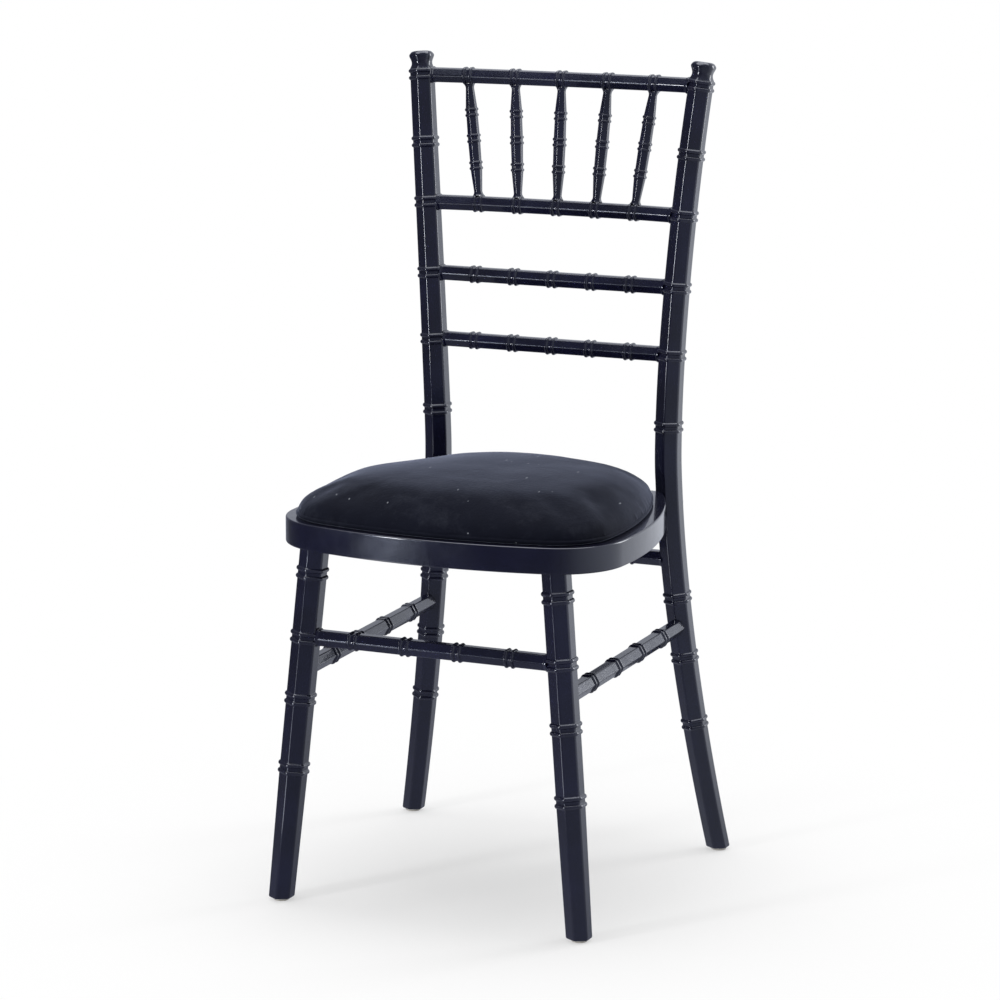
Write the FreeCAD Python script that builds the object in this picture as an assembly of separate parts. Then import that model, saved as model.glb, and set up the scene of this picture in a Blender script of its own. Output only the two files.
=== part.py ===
"""Stacking dining chair with faceted bamboo-style members and a loose padded seat.

Millimetres. +Z is up, +X is the sitter's left hand side as seen from the front, and the
front of the chair faces -Y. The origin lies on the floor under the middle of the chair.
"""
import FreeCAD
import Part
import math
import os

V = FreeCAD.Vector

# Overall heights
HEIGHT = 923.0
SEAT_TOP = 432.5
SEAT_THICKNESS = 29.0
GLIDE_THICKNESS = 3.0

# Rear posts: half spacing and depth at foot, waist and top, with the bend of the line
POST_WAIST_Z = 470.0
POST_WAIST_X = 144.8
POST_TOP_X = 175.0
POST_FOOT_X = 198.1
POST_TOP_POWER = 1.56
POST_FOOT_POWER = 1.6
LEAN_WAIST_Z = 570.0
LEAN_WAIST_Y = 150.8
LEAN_TOP_Y = 170.9
LEAN_FOOT_Y = 197.6
LEAN_TOP_POWER = 2.1
LEAN_FOOT_POWER = 1.65
POST_TOP_WIDTH = 25.4
POST_SEAT_WIDTH = 28.0
POST_FOOT_WIDTH = 24.2
POST_BEADS_Z = [156.0, 236.0, 307.0, 508.5]
POST_TOP_BEAD_DROP = 77.1

# Front legs
LEG_CORNER_ANGLE = 22.0
LEG_INSET = 16.5
LEG_FOOT_X = 181.0
LEG_FOOT_Y = -190.1
LEG_TOP_WIDTH = 29.0
LEG_SHIN_WIDTH = 28.4
LEG_FOOT_WIDTH = 25.8
LEG_SHIN_Z = 154.0
LEG_BEADS_Z = [LEG_SHIN_Z, 233.5, 376.2]
LEG_TENON_WIDTH = 14.0
LEG_TENON_LENGTH = 21.0

# Rails of the back, from the top down: each one's drop from the tip or from the rail above
CREST_RAIL_DROP = 26.4
SPINDLE_RAIL_DROP = 146.0
UPPER_RAIL_DROP = 81.7
LOWER_RAIL_DROP = 77.3
RAIL_WIDTH = 16.6
RAIL_BEAD_SPACING = 48.3

# How far the two spindle rails are bent back in the middle
SPINDLE_RAIL_BEND = 8.0

# Rails under the seat
REAR_RAIL_Z = 351.6
REAR_RAIL_BEAD_SPACING = 48.3
FRONT_STRETCHER_Z = 303.8
FRONT_STRETCHER_BEAD_SPACING = 62.6
SIDE_STRETCHER_FRONT_Z = 266.2
SIDE_STRETCHER_REAR_Z = 273.0
SIDE_STRETCHER_BEAD_SPACING = 69.5
STRETCHER_WIDTH = 17.4

# Spindles
SPINDLE_COUNT = 5
SPINDLE_TOP_SPACING = 57.6
SPINDLE_BOTTOM_SPACING = 48.3
SPINDLE_END_WIDTH = 8.8
SPINDLE_MIDDLE_WIDTH = 12.6
SPINDLE_FLARE_WIDTH = 10.8
SPINDLE_FLARE_LENGTH = 4.0
SPINDLE_BEAD_PLACES = [0.27, 0.512, 0.745]

# Double ring beads: ring spacing, width at the base, width of the crown, height of the ring
POST_BEAD = (8.2, 4.0, 1.8, 1.9)
LEG_BEAD = (9.0, 4.4, 2.0, 2.1)
SPINDLE_RAIL_BEAD = (7.8, 3.6, 1.6, 1.6)
RAIL_BEAD = (7.8, 3.6, 0.0, 1.7)
SPINDLE_BEAD = (6.8, 3.0, 0.0, 1.3)

# Finials, from the top down: distance below the top, and width between flats
FINIAL_PROFILE = [(0.0, 18.6), (1.3, 23.8), (3.2, 26.2), (7.0, 26.4), (13.6, 22.4), (18.4, 23.6)]

# Seat frame: tangent arcs at the front, round the corner and along the side, with the half
# width where the side arc starts, and a rear corner that stands in from the middle of the post
SEAT_FRONT_Y = -210.6
SEAT_HALF_WIDTH = 199.7
SEAT_FRONT_RADIUS = 582.0
SEAT_FRONT_ANGLE = 13.9
SEAT_CORNER_ANGLE = 86.4
SEAT_CORNER_IN = 7.3
SEAT_REAR_IN = 6.0
SEAT_MEMBER_WIDTH = 40.0
SEAT_EDGE = 1.2
FRONT_JOINT_ANGLE = 25.7
REAR_JOINT_X = 100.0
JOINT_LINE = 0.15
TONGUE_LENGTH = 34.0
TONGUE_WIDTH = 9.0
TONGUE_THICKNESS = 8.0
FRONT_TONGUE_INSET = 32.0
REAR_TONGUE_INSET = 20.0

# Seat panel, its ledge in the frame and its screws
LEDGE_WIDTH = 10.0
PANEL_THICKNESS = 6.0
PANEL_FIT = 0.3
PANEL_SCREW_ANGLES = [8.0, 110.0]
PANEL_SCREW_RADIUS = 1.75
PANEL_SCREW_LENGTH = 18.0
PANEL_SCREW_HEAD_RADIUS = 3.6
PANEL_SCREW_HEAD_HEIGHT = 1.6

# Joints between members
TENON_WIDTH = 9.0
TENON_LENGTH = 13.0
SPINDLE_TENON_WIDTH = 4.8
SPINDLE_TENON_LENGTH = 8.0
SOCKET_DEPTH = 4.6
TENON_CLEARANCE = 0.1
SHOULDER_GAP = 0.05
BORE_SPARE = 0.6

# Seat on the posts: a planed flat on each post and one bolt through it
FLAT_DEPTH = 1.5
FLAT_LENGTH = 60.0
FLAT_RAMP = 9.0
BOLT_RADIUS = 3.0
BOLT_HEAD_RADIUS = 6.5
BOLT_HEAD_HEIGHT = 3.2
BOLT_HEAD_GAP = 0.15
BOLT_IN_FRAME = 28.0

# Feet
GLIDE_RADIUS = 9.0
GLIDE_EDGE = 0.8
NAIL_WIDTH = 2.2
NAIL_LENGTH = 16.0
NAIL_RECESS = 1.0
FOOT_BEVEL = 1.6

# Padded seat
PAD_GAP = 0.3
PAD_INSET = 12.0
PAD_FORWARD = 3.5
PAD_CORNER_RADIUS = 44.0
PAD_CROWN = 50.0
PAD_ARC_STEPS = (4, 6, 4, 4)
COVER_THICKNESS = 1.0
COVER_OPENING = 34.0
BOARD_THICKNESS = 9.0
PAD_FIT = 0.1

# Levels of the pad: share of its height, and inset from its widest outline
PAD_LEVELS = [
    (0.0, 3.4), (0.06, 0.5), (0.13, 2.6), (0.26, 0.0), (0.42, 2.6), (0.58, 11.5),
    (0.74, 30.0), (0.88, 62.0), (0.965, 105.0), (1.0, 155.0),
]
PAD_CORE_LEVELS = [(0.0, 4.2), (0.26, 3.0), (0.42, 4.6), (0.74, 32.0), (0.93, 86.0), (1.0, 155.0)]

# Hook strips on the panel and loop strips under the pad
STRIP_LENGTH = 90.0
STRIP_WIDTH = 25.0
HOOK_THICKNESS = 1.9
LOOP_THICKNESS = 1.2
STRIP_PLACES = [(-80.0, -110.0), (80.0, -110.0), (-70.0, 60.0), (70.0, 60.0)]

# Worked out from the sizes above
CREST_RAIL_Z = HEIGHT - CREST_RAIL_DROP
SPINDLE_RAIL_Z = CREST_RAIL_Z - SPINDLE_RAIL_DROP
UPPER_RAIL_Z = SPINDLE_RAIL_Z - UPPER_RAIL_DROP
LOWER_RAIL_Z = UPPER_RAIL_Z - LOWER_RAIL_DROP
SEAT_BOTTOM = SEAT_TOP - SEAT_THICKNESS
SEAT_MIDDLE = SEAT_TOP - SEAT_THICKNESS / 2
PAD_BOTTOM = SEAT_TOP + PAD_GAP
BOARD_BOTTOM = PAD_BOTTOM + COVER_THICKNESS + PAD_FIT
PANEL_TOP = BOARD_BOTTOM - LOOP_THICKNESS - PAD_GAP - HOOK_THICKNESS
CORNER_OVER_FLAT = 1 / math.cos(math.radians(30))
RIGHT = V(1, 0, 0)
UP = V(0, 0, 1)
FLATNESS = 1e-6


def blend(low, high, share):
    return low + (high - low) * share


def bow(z, waist_z, waist, top, foot, top_power, foot_power):
    """Place and slope, at height z, of a line that bows out above and below its waist."""
    if z >= waist_z:
        span, reach, power, sign = HEIGHT - waist_z, top - waist, top_power, 1
    else:
        span, reach, power, sign = waist_z, foot - waist, foot_power, -1
    share = abs(z - waist_z) / span
    slope = sign * reach * power * share ** (power - 1) / span
    return waist + reach * share ** power, slope


def post_line(z):
    """Centre of the right rear post at height z, and the direction of its axis there."""
    x, slope_x = bow(z, POST_WAIST_Z, POST_WAIST_X, POST_TOP_X, POST_FOOT_X,
                     POST_TOP_POWER, POST_FOOT_POWER)
    y, slope_y = bow(z, LEAN_WAIST_Z, LEAN_WAIST_Y, LEAN_TOP_Y, LEAN_FOOT_Y,
                     LEAN_TOP_POWER, LEAN_FOOT_POWER)
    return V(x, y, z), V(slope_x, slope_y, 1).normalize()


def post_width(z):
    if z > SEAT_TOP:
        return blend(POST_SEAT_WIDTH, POST_TOP_WIDTH, (z - SEAT_TOP) / (HEIGHT - SEAT_TOP))
    return blend(POST_FOOT_WIDTH, POST_SEAT_WIDTH, z / SEAT_TOP)


def leg_line(z):
    """Centre of the right front leg at height z, and the direction of its axis."""
    top = seat_edge(LEG_CORNER_ANGLE, LEG_INSET)[0]
    slope = V(top.x - LEG_FOOT_X, top.y - LEG_FOOT_Y, SEAT_BOTTOM)
    return V(LEG_FOOT_X, LEG_FOOT_Y, 0) + slope * (z / SEAT_BOTTOM), slope.normalize()


def leg_width(z):
    if z > LEG_SHIN_Z:
        return blend(LEG_SHIN_WIDTH, LEG_TOP_WIDTH, (z - LEG_SHIN_Z) / (SEAT_BOTTOM - LEG_SHIN_Z))
    return blend(LEG_FOOT_WIDTH, LEG_SHIN_WIDTH, z / LEG_SHIN_Z)


def cross_axes(axis, flat):
    """Unit directions across a member: out of one of its flats, and out of a corner edge."""
    across = (flat - axis * flat.dot(axis)).normalize()
    return across, axis.cross(across)


def hexagon(centre, axis, flat, width, plane=None):
    """Six corners square to the axis, or run along the axis onto a plane (point, normal)."""
    across, corner = cross_axes(axis, flat)
    radius = width / 2 * CORNER_OVER_FLAT
    points = []
    for step in range(6):
        angle = math.radians(60 * step)
        point = centre + corner * (radius * math.cos(angle)) + across * (radius * math.sin(angle))
        if plane:
            point = point + axis * ((plane[0] - point).dot(plane[1]) / axis.dot(plane[1]))
        points.append(point)
    return points


def facet(points):
    """Flat face through the points, or the two triangles of a quad that is slightly twisted."""
    if len(points) == 4:
        normal = (points[1] - points[0]).cross(points[2] - points[0]).normalize()
        if abs((points[3] - points[0]).dot(normal)) > FLATNESS:
            return facet(points[:3]) + facet([points[0], points[2], points[3]])
    return [Part.Face(Part.makePolygon(points + [points[0]]))]


def faceted(rings):
    """Closed solid through rings of corners, with a flat face at each end."""
    faces = facet(rings[0]) + facet(rings[-1])
    for lower, upper in zip(rings, rings[1:]):
        for side in range(len(lower)):
            after = (side + 1) % len(lower)
            faces += facet([lower[side], lower[after], upper[after], upper[side]])
    shell = Part.makeShell(faces)
    shell.sewShape()
    solid = Part.makeSolid(shell)
    if solid.Volume < 0:
        solid.reverse()
    return solid


def bead_steps(style):
    """Distances from the middle of a double ring bead, each with how far the ring stands out."""
    spacing, base, crown, height = style
    steps = []
    for side in (-0.5, 0.5):
        middle = side * spacing
        steps.append((middle - base / 2, 0.0))
        steps.append((middle - crown / 2, height))
        if crown:
            steps.append((middle + crown / 2, height))
        steps.append((middle + base / 2, 0.0))
    return steps


def bead_rings(centre, axis, flat, width, style):
    return [hexagon(centre + axis * step, axis, flat, width + 2 * rise)
            for step, rise in bead_steps(style)]


def peg(start, axis, flat, width, length):
    """Six-sided tenon, or the bore for one."""
    return faceted([hexagon(start, axis, flat, width), hexagon(start + axis * length, axis, flat, width)])


def mirror(shape):
    return shape.mirror(V(0, 0, 0), V(1, 0, 0))


def rod(radius, start, direction, length):
    return Part.makeCylinder(radius, length, start, direction)


def half_space(point, normal):
    """Block larger than the seat, with one face on the plane, standing out along the normal."""
    size = 4 * SEAT_HALF_WIDTH
    block = Part.makeBox(size, size, size, V(-size / 2, -size / 2, 0))
    block.Placement = FreeCAD.Placement(point, FreeCAD.Rotation(V(0, 0, 1), normal))
    return block


def shoulder(line, width, z, ring_height):
    """Plane on a right-hand upright where a rail's shoulder lands: its point and outward normal."""
    centre, axis = line(z)
    across = cross_axes(axis, RIGHT)[0]
    return centre - across * (width(z) / 2 + ring_height + SHOULDER_GAP), across


def rail_bore(line, width, z, ring_height):
    """Blind bore in a right-hand upright for the tenon of a rail at height z."""
    centre = line(z)[0]
    start = shoulder(line, width, z, ring_height)[0]
    return peg(V(start.x - TENON_LENGTH, centre.y, z), RIGHT, UP, TENON_WIDTH + 2 * TENON_CLEARANCE,
               2 * TENON_LENGTH + BORE_SPARE)


def rail_place(line, z, x, bend):
    """Point and direction at x of a rail's axis, whose middle stands back by the bend."""
    end = line(z)[0]
    share = x / end.x
    return V(x, end.y + bend * (1 - share ** 2), z), V(1, -2 * bend * share / end.x, 0).normalize()


def cross_rail(line, upright_width, z, ring_height, width, style, bead_places, bend=0.0):
    """Rail between two uprights, with bead pairs at x places and a tenon at each end."""
    point, normal = shoulder(line, upright_width, z, ring_height)
    middle = V(0, line(z)[0].y, z)
    planes = [(V(-point.x, point.y, point.z), V(-normal.x, normal.y, normal.z)), (point, normal)]
    reach = RIGHT * (point.x + TENON_LENGTH)
    rings = [hexagon(middle - reach, RIGHT, UP, TENON_WIDTH)]
    rings.append(hexagon(middle, RIGHT, UP, TENON_WIDTH, planes[0]))
    rings.append(hexagon(middle, RIGHT, UP, width, planes[0]))
    for place in bead_places:
        centre, axis = rail_place(line, z, place, bend)
        rings += bead_rings(centre, axis, UP, width, style)
    rings.append(hexagon(middle, RIGHT, UP, width, planes[1]))
    rings.append(hexagon(middle, RIGHT, UP, TENON_WIDTH, planes[1]))
    rings.append(hexagon(middle + reach, RIGHT, UP, TENON_WIDTH))
    return faceted(rings)


def even_places(count, spacing):
    return [(index - (count - 1) / 2) * spacing for index in range(count)]


def spindle_line(index):
    """A spindle's ends on the crowns of the beads of its two rails, and its axis."""
    low_x = even_places(SPINDLE_COUNT, SPINDLE_BOTTOM_SPACING)[index]
    high_x = even_places(SPINDLE_COUNT, SPINDLE_TOP_SPACING)[index]
    low = rail_place(post_line, SPINDLE_RAIL_Z, low_x, SPINDLE_RAIL_BEND)[0]
    high = rail_place(post_line, CREST_RAIL_Z, high_x, SPINDLE_RAIL_BEND)[0]
    axis = (high - low).normalize()
    rail_reach = (RAIL_WIDTH / 2 + SPINDLE_RAIL_BEAD[3] + SHOULDER_GAP) / axis.z
    return low + axis * rail_reach, high - axis * rail_reach, axis


def spindle_bores(end):
    """Bores for the spindles' tenons in the spindle rail (end 0) or the crest rail (end 1)."""
    bores = []
    width = SPINDLE_TENON_WIDTH + 2 * TENON_CLEARANCE
    for index in range(SPINDLE_COUNT):
        low, high, axis = spindle_line(index)
        mouth, inward = (high, axis) if end else (low, axis * -1)
        start = mouth - inward * SPINDLE_TENON_LENGTH
        bores.append(peg(start, inward, RIGHT, width, 2 * SPINDLE_TENON_LENGTH + BORE_SPARE))
    return Part.makeCompound(bores)


def make_spindle(index):
    low, high, axis = spindle_line(index)
    length = (high - low).Length
    tenon = axis * SPINDLE_TENON_LENGTH
    flare = axis * SPINDLE_FLARE_LENGTH
    rings = [hexagon(low - tenon, axis, RIGHT, SPINDLE_TENON_WIDTH)]
    rings.append(hexagon(low, axis, RIGHT, SPINDLE_TENON_WIDTH, (low, UP)))
    rings.append(hexagon(low, axis, RIGHT, SPINDLE_FLARE_WIDTH, (low, UP)))
    rings.append(hexagon(low + flare, axis, RIGHT, SPINDLE_END_WIDTH))
    for share in SPINDLE_BEAD_PLACES:
        swell = math.sin(math.pi * share) ** 0.5
        width = blend(SPINDLE_END_WIDTH, SPINDLE_MIDDLE_WIDTH, swell)
        rings += bead_rings(low + axis * (share * length), axis, RIGHT, width, SPINDLE_BEAD)
    rings.append(hexagon(high - flare, axis, RIGHT, SPINDLE_END_WIDTH))
    rings.append(hexagon(high, axis, RIGHT, SPINDLE_FLARE_WIDTH, (high, UP)))
    rings.append(hexagon(high, axis, RIGHT, SPINDLE_TENON_WIDTH, (high, UP)))
    rings.append(hexagon(high + tenon, axis, RIGHT, SPINDLE_TENON_WIDTH))
    return faceted(rings)


def side_stretcher_line():
    """Start, axis and length of the right side stretcher, between the bottoms of its sockets."""
    front = leg_line(SIDE_STRETCHER_FRONT_Z)[0]
    rear = post_line(SIDE_STRETCHER_REAR_Z)[0]
    axis = (rear - front).normalize()
    front_radius = leg_width(SIDE_STRETCHER_FRONT_Z) / 2 * CORNER_OVER_FLAT
    rear_radius = post_width(SIDE_STRETCHER_REAR_Z) / 2 * CORNER_OVER_FLAT
    start = front + axis * (front_radius - SOCKET_DEPTH)
    end = rear - axis * (rear_radius - SOCKET_DEPTH)
    return start, axis, (end - start).Length


def make_side_stretcher():
    start, axis, length = side_stretcher_line()
    depth = axis * (TENON_LENGTH - SOCKET_DEPTH)
    gap = axis * SHOULDER_GAP
    end = start + axis * length
    rings = [hexagon(start - depth, axis, UP, TENON_WIDTH)]
    rings.append(hexagon(start + gap, axis, UP, TENON_WIDTH))
    rings.append(hexagon(start + gap, axis, UP, STRETCHER_WIDTH))
    for place in even_places(4, SIDE_STRETCHER_BEAD_SPACING):
        rings += bead_rings(start + axis * (length / 2 + place), axis, UP, STRETCHER_WIDTH, RAIL_BEAD)
    rings.append(hexagon(end - gap, axis, UP, STRETCHER_WIDTH))
    rings.append(hexagon(end - gap, axis, UP, TENON_WIDTH))
    rings.append(hexagon(end + depth, axis, UP, TENON_WIDTH))
    return faceted(rings)


def side_stretcher_sockets():
    """Socket and bore shapes cut from the uprights at the two ends of the right side stretcher."""
    start, axis, length = side_stretcher_line()
    depth = TENON_LENGTH - SOCKET_DEPTH + BORE_SPARE
    socket = peg(start, axis, UP, STRETCHER_WIDTH + 2 * TENON_CLEARANCE, length)
    bore = peg(start - axis * depth, axis, UP, TENON_WIDTH + 2 * TENON_CLEARANCE, length + 2 * depth)
    return [socket, bore]


def seat_joint():
    """Middle of the right post's planed flat, the direction it faces and the post's axis."""
    centre, axis = post_line(SEAT_MIDDLE)
    across, corner = cross_axes(axis, RIGHT)
    outward = corner * math.cos(math.radians(30)) + across * math.sin(math.radians(30))
    return centre - outward * (post_width(SEAT_MIDDLE) / 2 - FLAT_DEPTH), outward * -1, axis


def planed_flat():
    """Wedge-ended block that planes the flat on the right post."""
    middle, facing, axis = seat_joint()
    half = FLAT_LENGTH / 2
    out = FLAT_DEPTH * 4
    sideways = axis.cross(facing) * POST_SEAT_WIDTH
    corners = []
    for u, s in ((0, -half), (0, half), (out, half + out * FLAT_RAMP), (out, -half - out * FLAT_RAMP)):
        corners.append(middle + facing * u + axis * s - sideways / 2)
    return facet(corners)[0].extrude(sideways)


def bolt_places():
    """Seat of the bolt head on the right post, the bolt's direction and its length."""
    middle, facing, _ = seat_joint()
    across_post = post_width(SEAT_MIDDLE) - FLAT_DEPTH
    head = middle - facing * across_post
    return head, facing, across_post + SHOULDER_GAP + BOLT_IN_FRAME


def foot_rings(line, width):
    """Bevelled foot that stands level on its glide."""
    centre, axis = line(GLIDE_THICKNESS)
    floor = UP * GLIDE_THICKNESS
    full = width(GLIDE_THICKNESS)
    return [hexagon(centre, axis, RIGHT, full - 2 * FOOT_BEVEL, (floor, UP)),
            hexagon(centre, axis, RIGHT, full, (floor + UP * FOOT_BEVEL, UP))]


def make_rear_post():
    """Right rear post, from the foot to the finial, with its bores, sockets and flat."""
    rings = foot_rings(post_line, post_width)
    rails = [SPINDLE_RAIL_Z, UPPER_RAIL_Z, LOWER_RAIL_Z]
    beads = POST_BEADS_Z + rails + [CREST_RAIL_Z - POST_TOP_BEAD_DROP, CREST_RAIL_Z]
    plain = [(GLIDE_THICKNESS + POST_BEADS_Z[0]) / 2, REAR_RAIL_Z, SEAT_BOTTOM, SEAT_TOP]
    for z in sorted(beads + plain):
        centre, axis = post_line(z)
        if z in beads:
            rings += bead_rings(centre, axis, RIGHT, post_width(z), POST_BEAD)
        else:
            rings.append(hexagon(centre, axis, RIGHT, post_width(z)))
    centre, axis = post_line(CREST_RAIL_Z)
    tip = centre + axis * ((HEIGHT - CREST_RAIL_Z) / axis.z)
    for below, neck in reversed(FINIAL_PROFILE):
        rings.append(hexagon(tip - axis * below, axis, RIGHT, neck))
    cutters = [rail_bore(post_line, post_width, z, POST_BEAD[3]) for z in rails + [CREST_RAIL_Z]]
    cutters.append(rail_bore(post_line, post_width, REAR_RAIL_Z, 0))
    cutters += side_stretcher_sockets()
    cutters.append(planed_flat())
    head, facing, length = bolt_places()
    cutters.append(rod(BOLT_RADIUS + TENON_CLEARANCE, head - facing, facing, length))
    cutters.append(nail_bore(post_line))
    return faceted(rings).cut(cutters)


def make_front_leg():
    """Right front leg, with the six-sided tenon that stands up into the seat frame."""
    axis = leg_line(0)[1]
    rings = foot_rings(leg_line, leg_width)
    for z in sorted(LEG_BEADS_Z + [FRONT_STRETCHER_Z]):
        rings += bead_rings(leg_line(z)[0], axis, RIGHT, leg_width(z), LEG_BEAD)
    top = leg_line(SEAT_BOTTOM)[0]
    level = (top - UP * SHOULDER_GAP, UP)
    rings.append(hexagon(top, axis, RIGHT, leg_width(SEAT_BOTTOM), level))
    rings.append(hexagon(top, axis, RIGHT, LEG_TENON_WIDTH, level))
    rings.append(hexagon(top + axis * LEG_TENON_LENGTH, axis, RIGHT, LEG_TENON_WIDTH))
    cutters = [rail_bore(leg_line, leg_width, FRONT_STRETCHER_Z, LEG_BEAD[3])]
    cutters += side_stretcher_sockets()
    cutters.append(nail_bore(leg_line))
    return faceted(rings).cut(cutters)


def facing_out(angle):
    """Outward direction of the seat's edge where its tangent has turned by the angle."""
    return V(math.sin(math.radians(angle)), -math.cos(math.radians(angle)), 0)


def seat_arcs():
    """Centre, radius and last angle of the front and corner arcs of the seat's edge, then of its side."""
    turn = facing_out(SEAT_FRONT_ANGLE).x
    side_out = facing_out(SEAT_CORNER_ANGLE)
    corner_radius = (SEAT_HALF_WIDTH - SEAT_FRONT_RADIUS * turn) / (side_out.x - turn)
    front = V(0, SEAT_FRONT_Y + SEAT_FRONT_RADIUS, 0)
    corner = front + facing_out(SEAT_FRONT_ANGLE) * (SEAT_FRONT_RADIUS - corner_radius)
    chord = rear_corner() - (corner + side_out * corner_radius)
    side_radius = chord.Length ** 2 / (-2 * chord.dot(side_out))
    side = corner + side_out * (corner_radius - side_radius)
    return [(front, SEAT_FRONT_RADIUS, SEAT_FRONT_ANGLE), (corner, corner_radius, SEAT_CORNER_ANGLE),
            (side, side_radius, 180.0)]


def rear_corner():
    """Corner of the seat where its side and its rear edge would meet, beside the right post."""
    post = post_line(SEAT_MIDDLE)[0]
    return V(post.x - SEAT_CORNER_IN, post.y - SEAT_REAR_IN, 0)


def seat_edge(angle, inset=0.0):
    """Place on the right half of the seat's edge, drawn in by the inset, and its outward direction."""
    for centre, radius, last in seat_arcs():
        if angle <= last:
            break
    out = facing_out(angle)
    return centre + out * (radius - inset), out


def half_outline(inset, rounding=0.0):
    """Centre, radius, first and last angle of each arc of the right half of an outline."""
    arcs = []
    first = 0.0
    for centre, radius, last in seat_arcs():
        arcs.append((centre, radius - inset, first, last))
        first = last
    centre, radius, first, _ = arcs.pop()
    reach = radius - rounding
    rear_y = rear_corner().y - inset - rounding
    last = 90 + math.degrees(math.asin((rear_y - centre.y) / reach))
    arcs.append((centre, radius, first, last))
    if rounding:
        arcs.append((centre + facing_out(last) * reach, rounding, last, 180.0))
    return arcs


def outline(z, inset=0.0):
    """Closed outline at height z, drawn in from the edge of the seat frame."""
    edges = []
    for centre, radius, first, last in half_outline(inset):
        points = [centre + facing_out(angle) * radius for angle in (first, (first + last) / 2, last)]
        edges.append(Part.Arc(*points).toShape())
    edges += [mirror(edge) for edge in edges]
    corner = points[-1]
    edges.append(Part.makeLine(corner, V(-corner.x, corner.y, 0)))
    wire = Part.Wire(Part.__sortEdges__(edges))
    wire.translate(UP * z)
    return wire


def prism(wire, height):
    return Part.Face(wire).extrude(UP * height)


def front_joint():
    """Place on the right side's edge of the joint with the front member, and its normal."""
    place, out = seat_edge(FRONT_JOINT_ANGLE)
    return place + UP * SEAT_MIDDLE, V(out.y, -out.x, 0)


def tongue(point, normal, inward, inset, clearance):
    """Loose tongue across a joint face, or its mortise with the clearance all round."""
    length = TONGUE_LENGTH + 2 * clearance
    width = TONGUE_WIDTH + 2 * clearance
    thickness = TONGUE_THICKNESS + 2 * clearance
    middle = point + inward * inset
    corners = [middle + normal * (u * length / 2) + inward * (v * width / 2) - UP * (thickness / 2)
               for u, v in ((-1, -1), (1, -1), (1, 1), (-1, 1))]
    return facet(corners)[0].extrude(UP * thickness)


def frame_tongues(clearance=0.0):
    point, normal = front_joint()
    front = tongue(point, normal, V(normal.y, -normal.x, 0), FRONT_TONGUE_INSET, clearance)
    rear_point = V(REAR_JOINT_X, rear_corner().y, SEAT_MIDDLE)
    rear = tongue(rear_point, RIGHT, V(0, -1, 0), REAR_TONGUE_INSET, clearance)
    return [front, rear, mirror(front), mirror(rear)]


def panel_screw_places():
    """Middles of the ledge where the panel is screwed down."""
    inset = SEAT_MEMBER_WIDTH - LEDGE_WIDTH / 2
    places = []
    for angle in PANEL_SCREW_ANGLES:
        place = seat_edge(angle, inset)[0]
        places += [place, V(-place.x, place.y, 0)]
    return places


def make_seat_frame():
    """Front, rear and right members of the seat frame."""
    ring = prism(outline(SEAT_BOTTOM), SEAT_THICKNESS)
    rim = [edge for edge in ring.Edges if abs(edge.tangentAt(edge.FirstParameter).z) < FLATNESS]
    ring = ring.makeChamfer(SEAT_EDGE, rim)
    ledge_top = PANEL_TOP - PANEL_THICKNESS
    middle, facing, _ = seat_joint()
    head, facing, length = bolt_places()
    leg_top, leg_axis = leg_line(SEAT_BOTTOM)
    right = [
        half_space(middle + facing * SHOULDER_GAP, facing * -1),
        rod(BOLT_RADIUS + TENON_CLEARANCE, head, facing, length + BORE_SPARE),
        peg(leg_top - leg_axis * LEG_TENON_LENGTH, leg_axis, RIGHT,
            LEG_TENON_WIDTH + 2 * TENON_CLEARANCE, 2 * LEG_TENON_LENGTH + BORE_SPARE),
    ]
    cutters = right + [mirror(shape) for shape in right] + frame_tongues(TENON_CLEARANCE)
    cutters.append(prism(outline(SEAT_BOTTOM - 1, SEAT_MEMBER_WIDTH), SEAT_THICKNESS + 2))
    cutters.append(prism(outline(ledge_top, SEAT_MEMBER_WIDTH - LEDGE_WIDTH), SEAT_THICKNESS))
    for place in panel_screw_places():
        cutters.append(rod(PANEL_SCREW_RADIUS + TENON_CLEARANCE, place + UP * PANEL_TOP, UP * -1,
                           PANEL_SCREW_LENGTH + BORE_SPARE))
    for cutter in cutters:
        ring = ring.cut(cutter)
    point, normal = front_joint()
    front_side = half_space(point - normal * (JOINT_LINE / 2), normal)
    rear_side = half_space(point + normal * (JOINT_LINE / 2), normal * -1)
    wide = 2 * SEAT_HALF_WIDTH
    low = SEAT_BOTTOM - SEAT_THICKNESS / 2
    high = 2 * SEAT_THICKNESS
    rear_half = REAR_JOINT_X - JOINT_LINE / 2
    behind = Part.makeBox(2 * rear_half, wide, high, V(-rear_half, 0, low))
    ahead = Part.makeBox(2 * wide, wide, high, V(-wide, -wide, low))
    right_half = Part.makeBox(wide, 2 * wide, high, V(0, -wide, low))
    side_cut = Part.makeBox(wide, wide, high, V(REAR_JOINT_X + JOINT_LINE / 2 - wide, 0, low))
    front = ring.common(ahead).cut(rear_side).cut(mirror(rear_side))
    rear = ring.common(behind)
    side = ring.common(right_half).cut(front_side).cut(side_cut)
    return front, rear, side


def make_seat_panel():
    inset = SEAT_MEMBER_WIDTH - LEDGE_WIDTH + PANEL_FIT
    panel = prism(outline(PANEL_TOP - PANEL_THICKNESS, inset), PANEL_THICKNESS)
    holes = [rod(PANEL_SCREW_RADIUS + TENON_CLEARANCE, place + UP * (PANEL_TOP + 1), UP * -1,
                 PANEL_THICKNESS + 2) for place in panel_screw_places()]
    return panel.cut(holes)


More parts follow.
